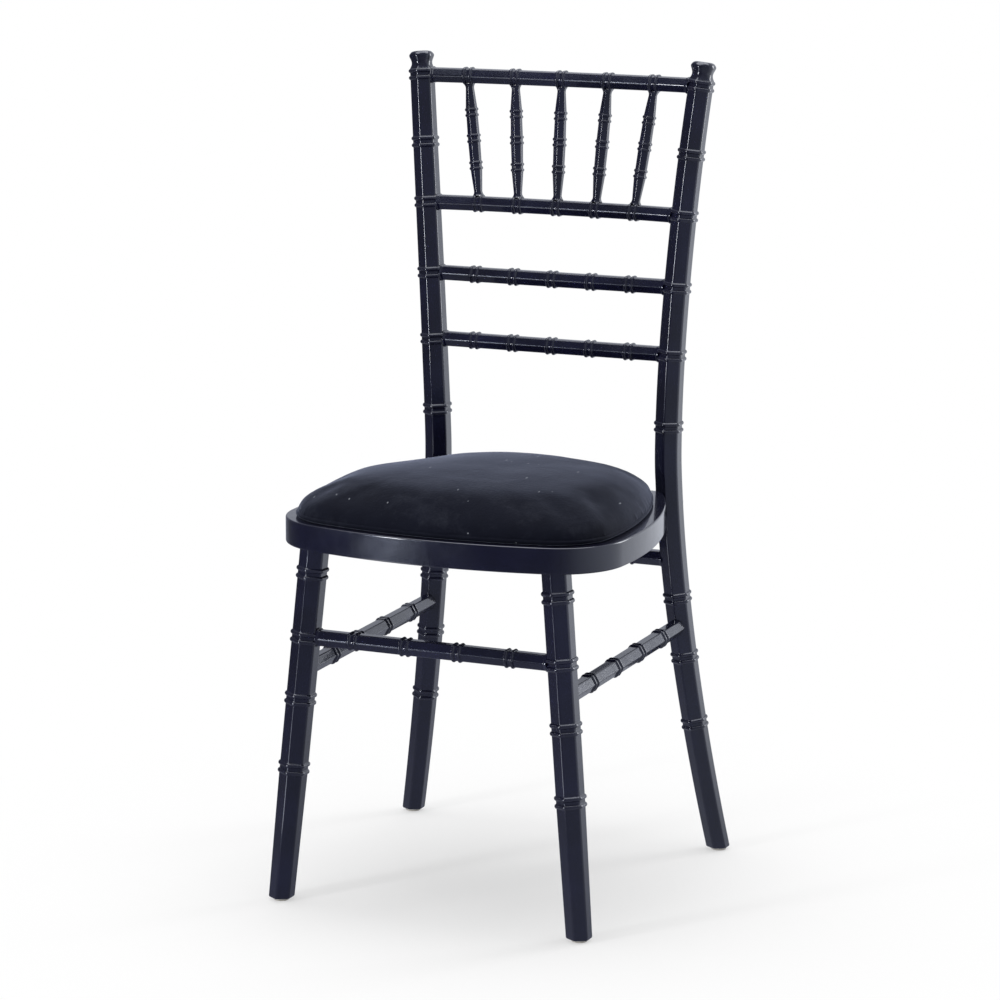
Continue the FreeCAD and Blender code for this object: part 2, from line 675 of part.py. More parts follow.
def make_panel_screws():
    """Pan-headed screws that hold the panel down on its ledge."""
    screws = []
    for place in panel_screw_places():
        seat = place + UP * PANEL_TOP
        shank = rod(PANEL_SCREW_RADIUS, seat, UP * -1, PANEL_SCREW_LENGTH)
        screws.append(rod(PANEL_SCREW_HEAD_RADIUS, seat, UP, PANEL_SCREW_HEAD_HEIGHT).fuse(shank))
    return screws


def nail(line, clearance=0.0):
    """Square nail up the middle of a right-hand foot, or its hole with the clearance all round."""
    centre, axis = line(0)
    width = NAIL_WIDTH + 2 * clearance
    pin = Part.makeBox(width, width, NAIL_LENGTH + 2 * clearance, V(-width / 2, -width / 2, -clearance))
    pin.Placement = FreeCAD.Placement(centre + axis * NAIL_RECESS, FreeCAD.Rotation(UP, axis))
    return pin


def nail_bore(line):
    return nail(line, TENON_CLEARANCE)


def make_glides():
    """Round glides under the right-hand feet, each with a sunk hole for its nail."""
    glides = []
    for line in (leg_line, post_line):
        centre = line(0)[0]
        base = Part.makeCone(GLIDE_RADIUS - GLIDE_EDGE, GLIDE_RADIUS, GLIDE_EDGE, centre, UP)
        disc = rod(GLIDE_RADIUS, centre + UP * GLIDE_EDGE, UP, GLIDE_THICKNESS - GLIDE_EDGE)
        sink = nail_bore(line)
        sink.translate(UP * -NAIL_RECESS)
        glides.append(base.fuse(disc).removeSplitter().cut([nail_bore(line), sink]))
    return glides


def make_bolts():
    """Domed bolt through the right post into the corner of the seat frame."""
    head, facing, length = bolt_places()
    dome_radius = (BOLT_HEAD_RADIUS ** 2 + BOLT_HEAD_HEIGHT ** 2) / (2 * BOLT_HEAD_HEIGHT)
    seat = head - facing * BOLT_HEAD_GAP
    dome = Part.makeSphere(dome_radius, seat + facing * (dome_radius - BOLT_HEAD_HEIGHT))
    dome = dome.cut(half_space(seat, facing))
    return dome.fuse(rod(BOLT_RADIUS, seat - facing, facing, length + 1))


def pad_outline():
    """Points round the pad where it is widest, in even steps along each arc."""
    right = []
    for (centre, radius, first, last), steps in zip(half_outline(PAD_INSET, PAD_CORNER_RADIUS), PAD_ARC_STEPS):
        for step in range(steps):
            right.append(centre + facing_out(blend(first, last, step / steps)) * radius)
    right.append(centre + facing_out(last) * radius)
    left = [V(-point.x, point.y, 0) for point in reversed(right[1:])]
    return right + left


def pad_ring(z, inset):
    """Pad's outline at height z, drawn in all round by scaling it about the pad's middle."""
    middle = V(0, (SEAT_FRONT_Y + rear_corner().y) / 2, 0)
    scale = 1 - inset / (SEAT_HALF_WIDTH - PAD_INSET)
    shift = UP * z - V(0, PAD_FORWARD, 0)
    return [middle + (point - middle) * scale + shift for point in pad_outline()]


def pad_form(levels, skin):
    """Crowned form with drawn-in sides, smaller than the pad all round by the skin."""
    low = PAD_BOTTOM + skin
    high = PAD_BOTTOM + PAD_CROWN - skin
    return faceted([pad_ring(blend(low, high, share), inset + skin) for share, inset in levels])


def pad_slab(low, thickness, inset):
    return faceted([pad_ring(low, inset), pad_ring(low + thickness, inset)])


def make_pad():
    """Cover, foam and board of the loose seat pad."""
    inside = pad_form(PAD_CORE_LEVELS, COVER_THICKNESS)
    opening = pad_slab(PAD_BOTTOM - 1, COVER_THICKNESS + 2, COVER_OPENING)
    cover = pad_form(PAD_LEVELS, 0).cut([inside, opening])
    board = pad_slab(BOARD_BOTTOM, BOARD_THICKNESS, COVER_THICKNESS + PAD_CORE_LEVELS[0][1] + PAD_FIT)
    board_top = BOARD_BOTTOM + BOARD_THICKNESS
    foam = pad_form(PAD_CORE_LEVELS, COVER_THICKNESS + PAD_FIT)
    foam = foam.cut(half_space(UP * board_top, UP * -1))
    return cover, foam, board


def make_strips(low, thickness):
    strips = []
    for x, y in STRIP_PLACES:
        strips.append(Part.makeBox(STRIP_LENGTH, STRIP_WIDTH, thickness,
                                   V(x - STRIP_LENGTH / 2, y - STRIP_WIDTH / 2, low)))
    return strips


def save(name, *solids):
    shape = solids[0] if len(solids) == 1 else Part.makeCompound(list(solids))
    shape.exportStep(os.path.join("parts", name + ".step"))


def save_pair(name, right):
    save(name + "_right", right)
    save(name + "_left", mirror(right))


def save_both(name, solids):
    """One node that holds the right-hand solids and their left-hand twins."""
    save(name, *solids, *[mirror(solid) for solid in solids])


def main():
    os.makedirs("parts", exist_ok=True)
    save_pair("rear_post", make_rear_post())
    save_pair("front_leg", make_front_leg())
    save_pair("side_stretcher", make_side_stretcher())
    ring = POST_BEAD[3]
    crest = cross_rail(post_line, post_width, CREST_RAIL_Z, ring, RAIL_WIDTH, SPINDLE_RAIL_BEAD,
                       even_places(SPINDLE_COUNT, SPINDLE_TOP_SPACING), SPINDLE_RAIL_BEND)
    save("crest_rail", crest.cut(spindle_bores(1)))
    spindle_rail = cross_rail(post_line, post_width, SPINDLE_RAIL_Z, ring, RAIL_WIDTH, SPINDLE_RAIL_BEAD,
                              even_places(SPINDLE_COUNT, SPINDLE_BOTTOM_SPACING), SPINDLE_RAIL_BEND)
    save("spindle_rail", spindle_rail.cut(spindle_bores(0)))
    for name, z in (("upper_back_rail", UPPER_RAIL_Z), ("lower_back_rail", LOWER_RAIL_Z)):
        save(name, cross_rail(post_line, post_width, z, ring, RAIL_WIDTH, RAIL_BEAD,
                              even_places(5, RAIL_BEAD_SPACING)))
    save("rear_seat_rail", cross_rail(post_line, post_width, REAR_RAIL_Z, 0, STRETCHER_WIDTH, RAIL_BEAD,
                                      even_places(5, REAR_RAIL_BEAD_SPACING)))
    save("front_stretcher", cross_rail(leg_line, leg_width, FRONT_STRETCHER_Z, LEG_BEAD[3],
                                       STRETCHER_WIDTH, RAIL_BEAD,
                                       even_places(4, FRONT_STRETCHER_BEAD_SPACING)))
    for index in range(SPINDLE_COUNT):
        save("spindle_%d" % (index + 1), make_spindle(index))
    front, rear, side = make_seat_frame()
    save("seat_frame_front", front)
    save("seat_frame_rear", rear)
    save_pair("seat_frame", side)
    save("seat_panel", make_seat_panel())
    save("panel_screws", *make_panel_screws())
    save("frame_tongues", *frame_tongues())
    save_both("seat_bolts", [make_bolts()])
    save_both("foot_glides", make_glides())
    save_both("glide_nails", [nail(leg_line), nail(post_line)])
    save("hook_strips", *make_strips(PANEL_TOP, HOOK_THICKNESS))
    cover, foam, board = make_pad()
    save("pad_cover", cover)
    save("pad_foam", foam)
    save("pad_board", board)
    save("loop_strips", *make_strips(BOARD_BOTTOM - LOOP_THICKNESS, LOOP_THICKNESS))


main()
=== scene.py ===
"""Looks of the faceted lacquered dining chair and its velvet pad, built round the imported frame.

Lengths are millimetres in the row frame until a mesh is made, and metres from there on.
"""

import math

import bmesh
import bpy
from mathutils import Matrix, Vector, noise


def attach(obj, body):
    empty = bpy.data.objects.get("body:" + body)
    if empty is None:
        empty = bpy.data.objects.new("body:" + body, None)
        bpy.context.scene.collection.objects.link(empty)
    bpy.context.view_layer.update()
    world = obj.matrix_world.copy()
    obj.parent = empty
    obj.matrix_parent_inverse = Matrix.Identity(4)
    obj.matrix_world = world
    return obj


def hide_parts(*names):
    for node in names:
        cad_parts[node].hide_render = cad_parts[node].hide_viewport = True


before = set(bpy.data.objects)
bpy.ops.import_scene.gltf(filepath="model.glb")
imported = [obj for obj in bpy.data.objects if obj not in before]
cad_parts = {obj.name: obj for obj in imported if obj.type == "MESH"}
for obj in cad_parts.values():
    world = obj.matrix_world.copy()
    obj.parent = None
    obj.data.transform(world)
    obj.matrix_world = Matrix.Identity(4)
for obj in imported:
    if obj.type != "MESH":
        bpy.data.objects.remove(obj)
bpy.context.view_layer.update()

MM = 0.001
RIGHT = Vector((1, 0, 0))
UP = Vector((0, 0, 1))
CORNER_OVER_FLAT = 1 / math.cos(math.radians(30))

# Overall heights
HEIGHT = 923.0
SEAT_TOP = 432.5
SEAT_THICKNESS = 29.0
GLIDE_THICKNESS = 3.0
SEAT_BOTTOM = SEAT_TOP - SEAT_THICKNESS
SEAT_MIDDLE = SEAT_TOP - SEAT_THICKNESS / 2

# Rear posts
POST_WAIST = (470.0, 144.8, 175.0, 198.1, 1.56, 1.6)
LEAN_WAIST = (570.0, 150.8, 170.9, 197.6, 2.1, 1.65)
POST_TOP_WIDTH = 25.4
POST_SEAT_WIDTH = 28.0
POST_FOOT_WIDTH = 24.2

# Rails, from the tip down
CREST_RAIL_Z = HEIGHT - 26.4
SPINDLE_RAIL_Z = CREST_RAIL_Z - 146.0
UPPER_RAIL_Z = SPINDLE_RAIL_Z - 81.7
LOWER_RAIL_Z = UPPER_RAIL_Z - 77.3
REAR_RAIL_Z = 351.6
FRONT_STRETCHER_Z = 303.8
SIDE_STRETCHER_FRONT_Z = 266.2
SIDE_STRETCHER_REAR_Z = 273.0
POST_BEADS_Z = [156.0, 236.0, 307.0, 508.5, CREST_RAIL_Z - 77.1]
LEG_BEADS_Z = [154.0, 233.5, 376.2]
RAIL_WIDTH = 16.6
SPINDLE_RAIL_BEND = 8.0
RAIL_SINK = 2.0
RAIL_FILLET = 1.1
STRETCHER_WIDTH = 17.4
RAIL_BEAD_SPACING = 48.3
REAR_RAIL_BEAD_SPACING = 48.3
FRONT_STRETCHER_BEAD_SPACING = 62.6
SIDE_STRETCHER_BEAD_SPACING = 69.5
SPINDLE_COUNT = 5
SPINDLE_TOP_SPACING = 57.6
SPINDLE_BOTTOM_SPACING = 48.3
SPINDLE_END_WIDTH = 8.8
SPINDLE_MIDDLE_WIDTH = 12.6
SPINDLE_FLARE_WIDTH = 10.8
SPINDLE_FLARE_LENGTH = 5.0
SPINDLE_BEAD_PLACES = [0.27, 0.512, 0.745]

# Front legs
LEG_CORNER_ANGLE = 22.0
LEG_INSET = 16.5
LEG_FOOT = Vector((181.0, -190.1, 0))
LEG_TOP_WIDTH = 29.0
LEG_SHIN_WIDTH = 28.4
LEG_FOOT_WIDTH = 25.8
LEG_SHIN_Z = 154.0

# Ring spacing, width of a ring at its base and its height, for each size of double bead
POST_BEAD = (8.0, 5.4, 2.0)
LEG_BEAD = (8.8, 6.0, 2.2)
RAIL_BEAD = (7.6, 4.9, 1.75)
SPINDLE_BEAD = (6.6, 4.1, 1.35)

# Shape across one ring: share of its base width and share of its height
RING_SHAPE = [(-0.5, 0.0), (-0.44, 0.1), (-0.37, 0.42), (-0.27, 0.74), (-0.14, 0.95), (0.0, 1.0),
              (0.14, 0.95), (0.27, 0.74), (0.37, 0.42), (0.44, 0.1), (0.5, 0.0)]

# Finials, from the top down: distance below the top, width and rounding of the corners
FINIAL_PROFILE = [(0.0, 17.0, 8.2), (0.35, 20.4, 9.2), (1.2, 23.4, 10.0), (2.6, 25.8, 10.2),
                  (4.2, 27.0, 7.8), (5.8, 27.1, 7.6), (7.8, 25.9, 7.6), (10.2, 24.0, 7.6),
                  (12.6, 22.8, 7.6), (14.8, 22.6, 6.6), (16.8, 23.2, 5.4), (18.6, 24.4, 4.2)]

# Rounding of the long corner edges
POST_ROUND = 3.2
RAIL_ROUND = 2.2
SPINDLE_ROUND = 1.6
CORNER_STEPS = 5

# Seat frame
SEAT_FRONT_Y = -210.6
SEAT_HALF_WIDTH = 199.7
SEAT_FRONT_RADIUS = 582.0
SEAT_FRONT_ANGLE = 13.9
SEAT_CORNER_ANGLE = 86.4
SEAT_CORNER_IN = 7.3
SEAT_REAR_IN = 6.0
SEAT_MEMBER_WIDTH = 40.0
LEDGE_WIDTH = 10.0
LEDGE_Z = 424.5
RIM_ROUND = 1.7
REBATE_ROUND = 0.8
REBATE_CORNER = 0.3
FRONT_JOINT_ANGLE = 25.7
REAR_JOINT_X = 100.0
JOINT_LINE = 0.15

# Planed flat and bolt on each post
FLAT_DEPTH = 1.5
FLAT_LENGTH = 60.0
FLAT_RAMP = 9.0
BOLT_HEAD_RADIUS = 6.5
BOLT_HEAD_HEIGHT = 3.2

# Seat pad
PAD_BOTTOM = SEAT_TOP + 0.3
PAD_INSET = 12.0
PAD_FORWARD = 3.5
PAD_CORNER_RADIUS = 44.0
PAD_CROWN = 50.0
PAD_OPENING = 34.0
ROLL_HEIGHT = 6.4
ROLL_INSET = 5.2
ROLL_REACH = 4.4
ROLL_STEPS = 16
PAD_STEPS = (16, 22, 18, 12)
PAD_SPRING = 2.0

# Skirt of the cover, round the board and turned in under it: height and inset of its corners
HEM_CORNERS = [(0.1, 4.4), (0.1, PAD_OPENING), (0.9, PAD_OPENING), (0.9, 5.0), (9.0, 5.0), (9.0, 4.4)]

# Dome of the cover before it is blown out: share of the crown and inset of each level
DOME_LEVELS = [(0.03, 3.0), (0.07, 2.4), (0.12, 1.9), (0.17, 1.2), (0.22, 0.5), (0.28, 0.2),
               (0.35, 0.8), (0.43, 3.0), (0.52, 7.6), (0.61, 14.2), (0.69, 22.6), (0.77, 34.5),
               (0.84, 50.0), (0.9, 70.0), (0.95, 95.0), (0.985, 126.0), (1.0, 158.0)]
DOME_START_INSET = 1.6
DOME_FREE_FROM = 0.15
DOME_ROUND_FROM = 0.35
DOME_ROUNDNESS = 0.8

# Stuffing of the cover, and in metres the slump of its rear left
VOXEL = 4.0
CLOTH_FRAMES = 20
MOST_SWELL = 4.0
CLOTH_SETTINGS = {
    "quality": 4, "mass": 0.3, "tension_stiffness": 12, "compression_stiffness": 12,
    "shear_stiffness": 4, "bending_stiffness": 0.8, "use_pressure": True,
    "uniform_pressure_force": 4.0, "vertex_group_mass": "held", "pin_stiffness": 1.0,
}
RELAX_ROUNDS = 14
SLUMP_X = -0.138
SLUMP_Y = 0.06
SLUMP_DEPTH = 0.0088


def blend(low, high, share):
    return low + (high - low) * share


def bow(z, waist_z, waist, top, foot, top_power, foot_power):
    """Place and slope, at height z, of a line that bows out above and below its waist."""
    if z >= waist_z:
        span, reach, power, sign = HEIGHT - waist_z, top - waist, top_power, 1
    else:
        span, reach, power, sign = waist_z, foot - waist, foot_power, -1
    share = abs(z - waist_z) / span
    slope = sign * reach * power * share ** (power - 1) / span
    return waist + reach * share ** power, slope


def post_line(z):
    x, slope_x = bow(z, *POST_WAIST)
    y, slope_y = bow(z, *LEAN_WAIST)
    return Vector((x, y, z)), Vector((slope_x, slope_y, 1)).normalized()


def post_width(z):
    if z > SEAT_TOP:
        return blend(POST_SEAT_WIDTH, POST_TOP_WIDTH, (z - SEAT_TOP) / (HEIGHT - SEAT_TOP))
    return blend(POST_FOOT_WIDTH, POST_SEAT_WIDTH, z / SEAT_TOP)


def facing_out(angle):
    return Vector((math.sin(math.radians(angle)), -math.cos(math.radians(angle)), 0))


def rear_corner():
    post = post_line(SEAT_MIDDLE)[0]
    return Vector((post.x - SEAT_CORNER_IN, post.y - SEAT_REAR_IN, 0))


def seat_arcs():
    """Centre and radius of the front, corner and side arcs of the seat's edge, right half."""
    turn = facing_out(SEAT_FRONT_ANGLE).x
    side_out = facing_out(SEAT_CORNER_ANGLE)
    corner_radius = (SEAT_HALF_WIDTH - SEAT_FRONT_RADIUS * turn) / (side_out.x - turn)
    front = Vector((0, SEAT_FRONT_Y + SEAT_FRONT_RADIUS, 0))
    corner = front + facing_out(SEAT_FRONT_ANGLE) * (SEAT_FRONT_RADIUS - corner_radius)
    chord = rear_corner() - (corner + side_out * corner_radius)
    side_radius = chord.length ** 2 / (-2 * chord.dot(side_out))
    side = corner + side_out * (corner_radius - side_radius)
    return (front, SEAT_FRONT_RADIUS), (corner, corner_radius), (side, side_radius)


FRONT_ARC, CORNER_ARC, SIDE_ARC = seat_arcs()


def side_end_angle(inset, rounding=0.0):
    """Angle on the side arc where it meets the rear edge, or the rounding before that."""
    centre, radius = SIDE_ARC
    rear_y = rear_corner().y - inset - rounding
    return 90 + math.degrees(math.asin((rear_y - centre.y) / (radius - inset - rounding)))


def leg_line(z):
    centre, radius = CORNER_ARC
    top = centre + facing_out(LEG_CORNER_ANGLE) * (radius - LEG_INSET)
    slope = Vector((top.x - LEG_FOOT.x, top.y - LEG_FOOT.y, SEAT_BOTTOM))
    return LEG_FOOT + slope * (z / SEAT_BOTTOM), slope.normalized()


def leg_width(z):
    if z > LEG_SHIN_Z:
        return blend(LEG_SHIN_WIDTH, LEG_TOP_WIDTH, (z - LEG_SHIN_Z) / (SEAT_BOTTOM - LEG_SHIN_Z))
    return blend(LEG_FOOT_WIDTH, LEG_SHIN_WIDTH, z / LEG_SHIN_Z)


def cross_axes(axis, flat):
    across = (flat - axis * flat.dot(axis)).normalized()
    return across, axis.cross(across)


def section(centre, axis, flat, width, rounding, plane=None):
    """Six-sided section with rounded corners, square to the axis or run along it onto a plane."""
    across, corner = cross_axes(axis, flat)
    rounding = min(rounding, width / 2 - 0.01)
    reach = (width / 2 - rounding) * CORNER_OVER_FLAT
    points = []
    for side in range(6):
        middle = 60 * side
        turn = math.radians(middle)
        hub = centre + corner * (reach * math.cos(turn)) + across * (reach * math.sin(turn))
        for step in range(CORNER_STEPS + 1):
            angle = math.radians(middle - 30 + 60 * step / CORNER_STEPS)
            point = hub + (corner * math.cos(angle) + across * math.sin(angle)) * rounding
            if plane:
                point = point + axis * ((plane[0] - point).dot(plane[1]) / axis.dot(plane[1]))
            points.append(point)
    return points


def bead_sections(centre, axis, flat, width, rounding, style):
    """Sections over a double ring bead whose middle is at the centre, each with its ring height."""
    spacing, base, height = style
    rings = []
    for side in (-0.5, 0.5):
        for share, rise in RING_SHAPE:
            place = centre + axis * (side * spacing + share * base)
            ring_round = rounding + rise * height * 1.6
            rings.append((section(place, axis, flat, width + 2 * rise * height, ring_round), rise))
    return rings


def mesh_object(name, points, faces, edge_values=None):
    """Object from points in millimetres, with smooth faces and its edge mask."""
    mesh = bpy.data.meshes.new(name)
    mesh.from_pydata([tuple(point * MM) for point in points], [], faces)
    mesh.validate()
    mesh.polygons.foreach_set("use_smooth", [True] * len(mesh.polygons))
    if edge_values:
        mask = mesh.attributes.new("edge_mask", "FLOAT", "POINT")
        mask.data.foreach_set("value", edge_values)
    made = bpy.data.objects.new(name, mesh)
    bpy.context.scene.collection.objects.link(made)
    return made


def weigh_normals(made, sharp_degrees=50.0):
    """Flat faces shade flat and rounded corners shade round."""
    bm = bmesh.new()
    bm.from_mesh(made.data)
    bmesh.ops.remove_doubles(bm, verts=bm.verts, dist=1e-6)
    bmesh.ops.recalc_face_normals(bm, faces=bm.faces)
    for edge in bm.edges:
        if len(edge.link_faces) == 2 and edge.calc_face_angle() > math.radians(sharp_degrees):
            edge.smooth = False
    bm.to_mesh(made.data)
    bm.free()
    weigh = made.modifiers.new("weigh", "WEIGHTED_NORMAL")
    weigh.keep_sharp = True
    weigh.weight = 60


def corner_mask(count):
    """Edge mask round one section: 1 on the middle of each rounded corner, 0 beside the flats."""
    steps = CORNER_STEPS + 1
    return [math.sin(math.pi * (index % steps) / CORNER_STEPS) for index in range(count)]


def member(name, rings, node, material, body="frame"):
    """Closed member through its sections, which stands for a CAD node."""
    count = len(rings[0][0])
    points = [point for ring, _ in rings for point in ring]
    corner = corner_mask(count)
    edge_values = [max(value * 0.8, rise) for _, rise in rings for value in corner]
    faces = []
    for lower in range(len(rings) - 1):
        for side in range(count):
            after = (side + 1) % count
            a = lower * count
            b = a + count
            faces.append((a + side, a + after, b + after, b + side))
    faces.append(tuple(range(count))[::-1])
    faces.append(tuple(range(len(points) - count, len(points))))
    made = mesh_object(name, points, faces, edge_values)
    weigh_normals(made)
    dress(made, material, body, node)
    return made


def dress(made, material, body, *nodes):
    made.data.materials.append(MATERIALS[material])
    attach(made, body)
    if nodes:
        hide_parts(*nodes)


def mirrored(points):
    return [Vector((-point.x, point.y, point.z)) for point in points]


def both_sides(name, rings, material):
    """The right-hand member and its left-hand twin."""
    member("wood_" + name + "_right", rings, name + "_right", material)
    flipped = [(mirrored(ring)[::-1], rise) for ring, rise in rings]
    member("wood_" + name + "_left", flipped, name + "_left", material)


def plain_stations(low, high, spacing):
    """Heights between two others, evenly spaced, without the ends."""
    count = max(1, round((high - low) / spacing))
    return [blend(low, high, (step + 1) / (count + 1)) for step in range(count)]


def seat_flat():
    """Middle of the right post's planed flat, the direction it faces and the post's axis."""
    centre, axis = post_line(SEAT_MIDDLE)
    across, corner = cross_axes(axis, RIGHT)
    outward = corner * math.cos(math.radians(30)) + across * math.sin(math.radians(30))
    return centre - outward * (post_width(SEAT_MIDDLE) / 2 - FLAT_DEPTH), outward * -1, axis


def plane_off(point):
    """Moves a point of the post that stands proud of the planed flat down onto it."""
    middle, facing, axis = seat_flat()
    along = abs((point - middle).dot(axis))
    allowed = max(0.0, (along - FLAT_LENGTH / 2) / FLAT_RAMP)
    proud = (point - middle).dot(facing)
    return point - facing * (proud - allowed) if proud > allowed else point


def foot_sections(line, width, rounding):
    """Softened end of a foot, level on its glide."""
    centre, axis = line(GLIDE_THICKNESS)
    full = width(GLIDE_THICKNESS)
    rings = []
    for rise, inset in ((0.0, 1.5), (0.35, 0.75), (0.95, 0.25), (1.9, 0.0)):
        level = (UP * (GLIDE_THICKNESS + rise), UP)
        rings.append((section(centre, axis, RIGHT, full - 2 * inset, rounding, level), 1 - rise / 1.9))
    return rings


def make_posts():
    beads = sorted(POST_BEADS_Z + [LOWER_RAIL_Z, UPPER_RAIL_Z, SPINDLE_RAIL_Z, CREST_RAIL_Z])
    rings = foot_sections(post_line, post_width, POST_ROUND)
    half_bead = POST_BEAD[0] / 2 + POST_BEAD[1] / 2
    low = GLIDE_THICKNESS + 2
    for z in beads:
        near_seat = low < SEAT_MIDDLE < z
        for plain in plain_stations(low, z - half_bead, 3.0 if near_seat else 22.0):
            centre, axis = post_line(plain)
            ring = section(centre, axis, RIGHT, post_width(plain), POST_ROUND)
            rings.append(([plane_off(point) for point in ring] if near_seat else ring, 0.0))
        centre, axis = post_line(z)
        rings += bead_sections(centre, axis, RIGHT, post_width(z), POST_ROUND, POST_BEAD)
        low = z + half_bead
    centre, axis = post_line(CREST_RAIL_Z)
    tip = centre + axis * ((HEIGHT - CREST_RAIL_Z) / axis.z)
    for below, neck, rounding in reversed(FINIAL_PROFILE):
        rings.append((section(tip - axis * below, axis, RIGHT, neck, rounding), 0.3))
    both_sides("rear_post", rings, "lacquer")


def make_legs():
    axis = leg_line(0)[1]
    rings = foot_sections(leg_line, leg_width, POST_ROUND)
    for z in sorted(LEG_BEADS_Z + [FRONT_STRETCHER_Z]):
        rings += bead_sections(leg_line(z)[0], axis, RIGHT, leg_width(z), POST_ROUND, LEG_BEAD)
    top = leg_line(SEAT_BOTTOM)[0]
    under_seat = (top - UP * 0.05, UP)
    rings.append((section(top, axis, RIGHT, leg_width(SEAT_BOTTOM), POST_ROUND, under_seat), 0.0))
    both_sides("front_leg", rings, "lacquer")


def even_places(count, spacing):
    return [(index - (count - 1) / 2) * spacing for index in range(count)]


def rail_place(line, z, x, bend):
    """Point and direction at x of a rail's axis, whose middle stands back by the bend."""
    end = line(z)[0]
    share = x / end.x
    place = Vector((x, end.y + bend * (1 - share ** 2), z))
    return place, Vector((1, -2 * bend * share / end.x, 0)).normalized()


def make_rail(name, line, upright_width, z, ring_height, width, places, bend=0.0):
    """Rail whose ends run just into the beads of its two uprights, with a lacquer fillet."""
    centre, upright_axis = line(z)
    across = cross_axes(upright_axis, RIGHT)[0]
    face = centre - across * (upright_width(z) / 2 + ring_height)
    normals = [Vector((-across.x, across.y, across.z)), across]
    middle = Vector((0, centre.y, z))
    left, right = [], []
    for depth, swell in ((-RAIL_SINK, RAIL_FILLET), (0.0, RAIL_FILLET), (0.5, 0.5 * RAIL_FILLET),
                         (1.3, 0.15 * RAIL_FILLET), (2.4, 0.0)):
        spot = face - across * depth
        far = Vector((-spot.x, spot.y, spot.z))
        size = width + 2 * swell
        left.append((section(middle, RIGHT, UP, size, RAIL_ROUND + swell, (far, normals[0])), 0.0))
        right.append((section(middle, RIGHT, UP, size, RAIL_ROUND + swell, (spot, normals[1])), 0.0))
    rings = left
    for place in places:
        spot, axis = rail_place(line, z, place, bend)
        rings += bead_sections(spot, axis, UP, width, RAIL_ROUND, RAIL_BEAD)
    rings += right[::-1]
    member("wood_" + name, rings, name, "lacquer")


def make_rails():
    ring = POST_BEAD[2]
    spindle_top = even_places(SPINDLE_COUNT, SPINDLE_TOP_SPACING)
    spindle_bottom = even_places(SPINDLE_COUNT, SPINDLE_BOTTOM_SPACING)
    plain = even_places(5, RAIL_BEAD_SPACING)
    make_rail("crest_rail", post_line, post_width, CREST_RAIL_Z, ring, RAIL_WIDTH, spindle_top,
              SPINDLE_RAIL_BEND)
    make_rail("spindle_rail", post_line, post_width, SPINDLE_RAIL_Z, ring, RAIL_WIDTH, spindle_bottom,
              SPINDLE_RAIL_BEND)
    make_rail("upper_back_rail", post_line, post_width, UPPER_RAIL_Z, ring, RAIL_WIDTH, plain)
    make_rail("lower_back_rail", post_line, post_width, LOWER_RAIL_Z, ring, RAIL_WIDTH, plain)
    make_rail("rear_seat_rail", post_line, post_width, REAR_RAIL_Z, 0.0, STRETCHER_WIDTH,
              even_places(5, REAR_RAIL_BEAD_SPACING))
    make_rail("front_stretcher", leg_line, leg_width, FRONT_STRETCHER_Z, LEG_BEAD[2], STRETCHER_WIDTH,
              even_places(4, FRONT_STRETCHER_BEAD_SPACING))


def make_side_stretchers():
    front = leg_line(SIDE_STRETCHER_FRONT_Z)[0]
    rear = post_line(SIDE_STRETCHER_REAR_Z)[0]
    axis = (rear - front).normalized()
    start = front + axis * (leg_width(SIDE_STRETCHER_FRONT_Z) / 2 - 1)
    end = rear - axis * (post_width(SIDE_STRETCHER_REAR_Z) / 2 - 1)
    rings = [(section(start, axis, UP, STRETCHER_WIDTH, RAIL_ROUND), 0.0)]
    for place in even_places(4, SIDE_STRETCHER_BEAD_SPACING):
        rings += bead_sections((start + end) / 2 + axis * place, axis, UP, STRETCHER_WIDTH, RAIL_ROUND,
                               RAIL_BEAD)
    rings.append((section(end, axis, UP, STRETCHER_WIDTH, RAIL_ROUND), 0.0))
    both_sides("side_stretcher", rings, "lacquer")


def make_spindles():
    """Fanned spindles that swell to their middle bead and flare onto the rails' beads."""
    rail_reach = RAIL_WIDTH / 2 + RAIL_BEAD[2] - 0.9
    for index in range(SPINDLE_COUNT):
        low_x = even_places(SPINDLE_COUNT, SPINDLE_BOTTOM_SPACING)[index]
        high_x = even_places(SPINDLE_COUNT, SPINDLE_TOP_SPACING)[index]
        low = rail_place(post_line, SPINDLE_RAIL_Z, low_x, SPINDLE_RAIL_BEND)[0]
        high = rail_place(post_line, CREST_RAIL_Z, high_x, SPINDLE_RAIL_BEND)[0]
        axis = (high - low).normalized()
        low = low + axis * (rail_reach / axis.z)
        high = high - axis * (rail_reach / axis.z)
        length = (high - low).length
        flares = []
        for share in (0.0, 0.16, 0.36, 0.64, 1.0):
            width = blend(SPINDLE_FLARE_WIDTH + 1.4, SPINDLE_END_WIDTH, 1 - (1 - share) ** 2.2)
            flares.append((share * SPINDLE_FLARE_LENGTH, width))
        rings = []
        for reach, width in flares:
            rings.append((section(low + axis * reach, axis, RIGHT, width, SPINDLE_ROUND), 0.0))
        for share in SPINDLE_BEAD_PLACES:
            width = blend(SPINDLE_END_WIDTH, SPINDLE_MIDDLE_WIDTH, math.sin(math.pi * share) ** 0.5)
            rings += bead_sections(low + axis * (share * length), axis, RIGHT, width, SPINDLE_ROUND,
                                   SPINDLE_BEAD)
        for reach, width in reversed(flares):
            rings.append((section(high - axis * reach, axis, RIGHT, width, SPINDLE_ROUND), 0.0))
        name = "spindle_%d" % (index + 1)
        member("wood_" + name, rings, name, "lacquer")


